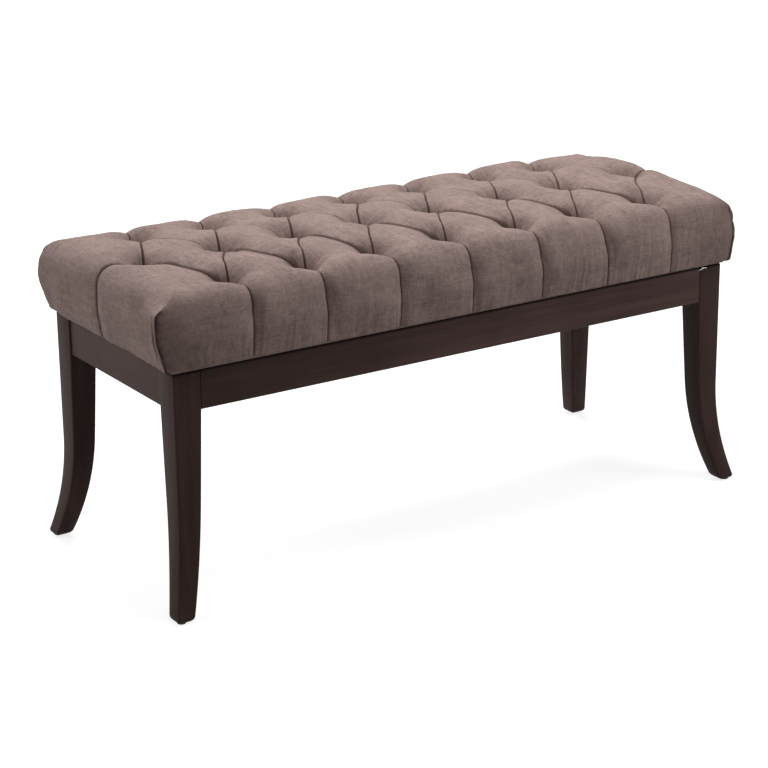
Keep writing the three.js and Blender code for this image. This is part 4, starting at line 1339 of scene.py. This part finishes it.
def block_screw_places(corner):
    """Two screws at each end of a corner block, driven square to its long inner face."""
    sign_x, sign_y = CORNERS[corner]
    low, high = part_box("corner_block_" + corner)
    inner_x, outer_x = (low[0], high[0]) if sign_x > 0 else (high[0], low[0])
    inner_y, outer_y = (low[1], high[1]) if sign_y > 0 else (high[1], low[1])
    middle_height = (low[2] + high[2]) / 2
    start = Vector((inner_x, outer_y, middle_height))
    end = Vector((outer_x, inner_y, middle_height))
    inward = Vector((-sign_x, -sign_y, 0)).normalized()
    from_end, off_middle = 0.13, 12 * MM
    places = []
    for share in (from_end, 1 - from_end):
        for step in (-off_middle, off_middle):
            point = start.lerp(end, share) + Vector((0, 0, step))
            places.append(frame_at(point, (0.3, 0.2, 1.0), inward))
    return places


def stray_staple_places(top_side):
    """Two staples of the cover that missed, on the front apron's top edge beside the right leg."""
    joint = Vector((FRAME_HALF_X - top_side, -FRAME_HALF_Y, FRAME_TOP))
    return [
        frame_at(joint + Vector((4, -0.2, -3.2)) * MM, (1, 0, 0.35), (0.1, 1, 0.2)),
        frame_at(joint + Vector((8, -0.5, -2.0)) * MM, (1, 0, -0.2), (0, 1, 0.3)),
    ]


class BENCH_OT_underside(bpy.types.Operator):
    """Make the dust cover, its staples, the block screws and the stray cover staples"""

    bl_idname = "bench.underside"
    bl_label = "Underside"

    def execute(self, context):
        settings = context.scene.bench_underside
        zinc = zinc_material()
        make_dust_cover(settings, black_cloth_material())
        staple = make_staple(settings)
        place_copies(staple, dust_staple_places(settings), "dust_cover_staples", zinc)
        strays = stray_staple_places(context.scene.bench_legs.top_side)
        place_copies(staple, strays, "stray_cover_staples", zinc)
        bpy.data.objects.remove(staple)
        screw = make_screw(settings)
        for corner in CORNERS:
            places = block_screw_places(corner)
            place_copies(screw, places, "block_screws_" + corner, zinc)
        bpy.data.objects.remove(screw)
        return {"FINISHED"}


class BENCH_OT_hardware(bpy.types.Operator):
    """Finish the board, slats, blocks, ties, bolts, screws and glides"""

    bl_idname = "bench.hardware"
    bl_label = "Hardware and Inner Pieces"

    def execute(self, context):
        pale = raw_wood_material("sawn_hardwood", (0.40, 0.26, 0.14), "Y")
        ply = raw_wood_material("birch_plywood", (0.52, 0.37, 0.21), "X")
        zinc = zinc_material()
        finishes = {
            "corner_block_": pale, "slat_": pale, "seat_board": ply,
            "hanger_bolt_": zinc, "flange_nut_": zinc, "seat_screw_": zinc,
            "glide_": glide_material(), "tuft_tie_": twine_material(),
        }
        for name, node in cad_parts.items():
            for start, material in finishes.items():
                if name.startswith(start):
                    give_finish(node, material)
        return {"FINISHED"}


# Stage


def make_camera(settings):
    """The camera of the photo, with its roll around the line of sight."""
    azimuth, elevation, roll = settings.camera_azimuth, settings.camera_elevation, settings.camera_roll
    back = Vector((
        math.sin(azimuth) * math.cos(elevation),
        -math.cos(azimuth) * math.cos(elevation),
        math.sin(elevation),
    ))
    right = Vector((math.cos(azimuth), math.sin(azimuth), 0))
    up = back.cross(right)
    turned_right = right * math.cos(roll) + up * math.sin(roll)
    turned_up = up * math.cos(roll) - right * math.sin(roll)
    data = bpy.data.cameras.new("camera")
    data.lens = settings.lens
    data.sensor_width = 36
    camera = bpy.data.objects.new("camera", data)
    axes = Matrix((turned_right, turned_up, back)).transposed().to_4x4()
    camera.matrix_world = Matrix.Translation(settings.camera_place) @ axes
    bpy.context.scene.collection.objects.link(camera)
    bpy.context.scene.camera = camera


def seen_directly(tree):
    """1 where the camera, a mirror or glass looks at the surface, else 0."""
    path = new_node(tree, "LightPath").outputs
    seen = math_node(tree, "MAXIMUM", path["Is Camera Ray"], path["Is Glossy Ray"])
    return math_node(tree, "MAXIMUM", seen, path["Is Transmission Ray"])


def make_floor():
    """A matt grey floor that looks white to the camera, a little less so under the bench."""
    under_bench, dim_until, white_from = 0.80, 0.5, 1.6
    select_only()
    bpy.ops.mesh.primitive_plane_add(size=14, location=(0, 0, 0))
    floor = bpy.context.object
    floor.name = "studio_floor"
    material = bpy.data.materials.new("studio_floor")
    material.use_nodes = True
    tree = material.node_tree
    tree.nodes.clear()
    matt = new_node(tree, "BsdfDiffuse", Color=(0.55, 0.55, 0.55, 1))
    glow = new_node(tree, "Emission")
    away = new_node(tree, "VectorMath")
    away.operation = "LENGTH"
    tree.links.new(own_place(tree), away.inputs[0])
    far = level(tree, away.outputs["Value"], under_bench, 1.0, dim_until, white_from)
    far.node.interpolation_type = "SMOOTHSTEP"
    tree.links.new(math_node(tree, "MULTIPLY", seen_directly(tree), far), glow.inputs["Strength"])
    both = new_node(tree, "AddShader")
    tree.links.new(matt.outputs["BSDF"], both.inputs[0])
    tree.links.new(glow.outputs["Emission"], both.inputs[1])
    output = new_node(tree, "OutputMaterial")
    tree.links.new(both.outputs["Shader"], output.inputs["Surface"])
    floor.data.materials.append(material)


def make_world():
    """A world that is white to the camera and gives only a faint light."""
    faint = 0.08
    world = bpy.data.worlds.new("studio")
    bpy.context.scene.world = world
    world.use_nodes = True
    tree = world.node_tree
    background = tree.nodes["Background"]
    tree.links.new(level(tree, seen_directly(tree), faint, 1.0), background.inputs["Strength"])
    background.inputs["Color"].default_value = (1, 1, 1, 1)


def add_lamp(name, place, target, size, power):
    """A rectangular lamp that faces its target, with its power in watts."""
    data = bpy.data.lights.new(name, "AREA")
    data.shape = "RECTANGLE"
    data.size, data.size_y = size
    data.energy = power
    lamp = bpy.data.objects.new(name, data)
    way = Vector(target) - Vector(place)
    lamp.matrix_world = Matrix.Translation(place) @ way.to_track_quat("-Z", "Y").to_matrix().to_4x4()
    bpy.context.scene.collection.objects.link(lamp)


class BENCH_OT_stage(bpy.types.Operator):
    """Set up the floor, lamps, world and camera"""

    bl_idname = "bench.stage"
    bl_label = "Studio"

    def execute(self, context):
        make_camera(context.scene.bench_stage)
        make_floor()
        make_world()
        add_lamp("rear_lamp", (0.30, 1.10, 1.90), target=(0, 0, 0.4), size=(1.4, 0.9), power=25.7)
        add_lamp("top_lamp", (0.0, -0.60, 2.05), target=(0, 0, 0.4), size=(1.4, 0.9), power=11.9)
        add_lamp("left_lamp", (-2.3, 0.9, 1.5), target=(-0.4, 0, 0.35), size=(1.0, 1.0), power=15.9)
        add_lamp("right_lamp", (1.35, -1.2, 1.1), target=(0.4, 0, 0.3), size=(0.7, 0.7), power=7.6)
        context.scene.view_settings.view_transform = "Standard"
        return {"FINISHED"}


class BENCH_PT_tools(bpy.types.Panel):
    """Lists the steps that make the bench."""

    bl_label = "Tufted Bench"
    bl_idname = "BENCH_PT_tools"
    bl_space_type = "VIEW_3D"
    bl_region_type = "UI"
    bl_category = "Bench"

    def draw(self, context):
        layout = self.layout
        for operator in OPERATORS:
            layout.operator(operator.bl_idname)
        for group in SETTINGS:
            settings = getattr(context.scene, group)
            for name in settings.bl_rna.properties.keys():
                if name not in {"rna_type", "name"}:
                    layout.prop(settings, name)


SETTINGS = {
    "bench_cushion": BenchCushionSettings,
    "bench_legs": BenchLegSettings,
    "bench_underside": BenchUndersideSettings,
    "bench_finish": BenchFinishSettings,
    "bench_stage": BenchStageSettings,
}
OPERATORS = (
    BENCH_OT_stage, BENCH_OT_cushion, BENCH_OT_legs, BENCH_OT_underside, BENCH_OT_hardware,
)
CLASSES = (*SETTINGS.values(), *OPERATORS, BENCH_PT_tools)


def register():
    for cls in CLASSES:
        bpy.utils.register_class(cls)
    for name, cls in SETTINGS.items():
        setattr(bpy.types.Scene, name, PointerProperty(type=cls))


def unregister():
    for name in SETTINGS:
        delattr(bpy.types.Scene, name)
    for cls in reversed(CLASSES):
        bpy.utils.unregister_class(cls)


def main():
    register()
    for operator in OPERATORS:
        name = operator.bl_idname.split(".")[1]
        getattr(bpy.ops.bench, name)()


if __name__ == "__main__":
    main()
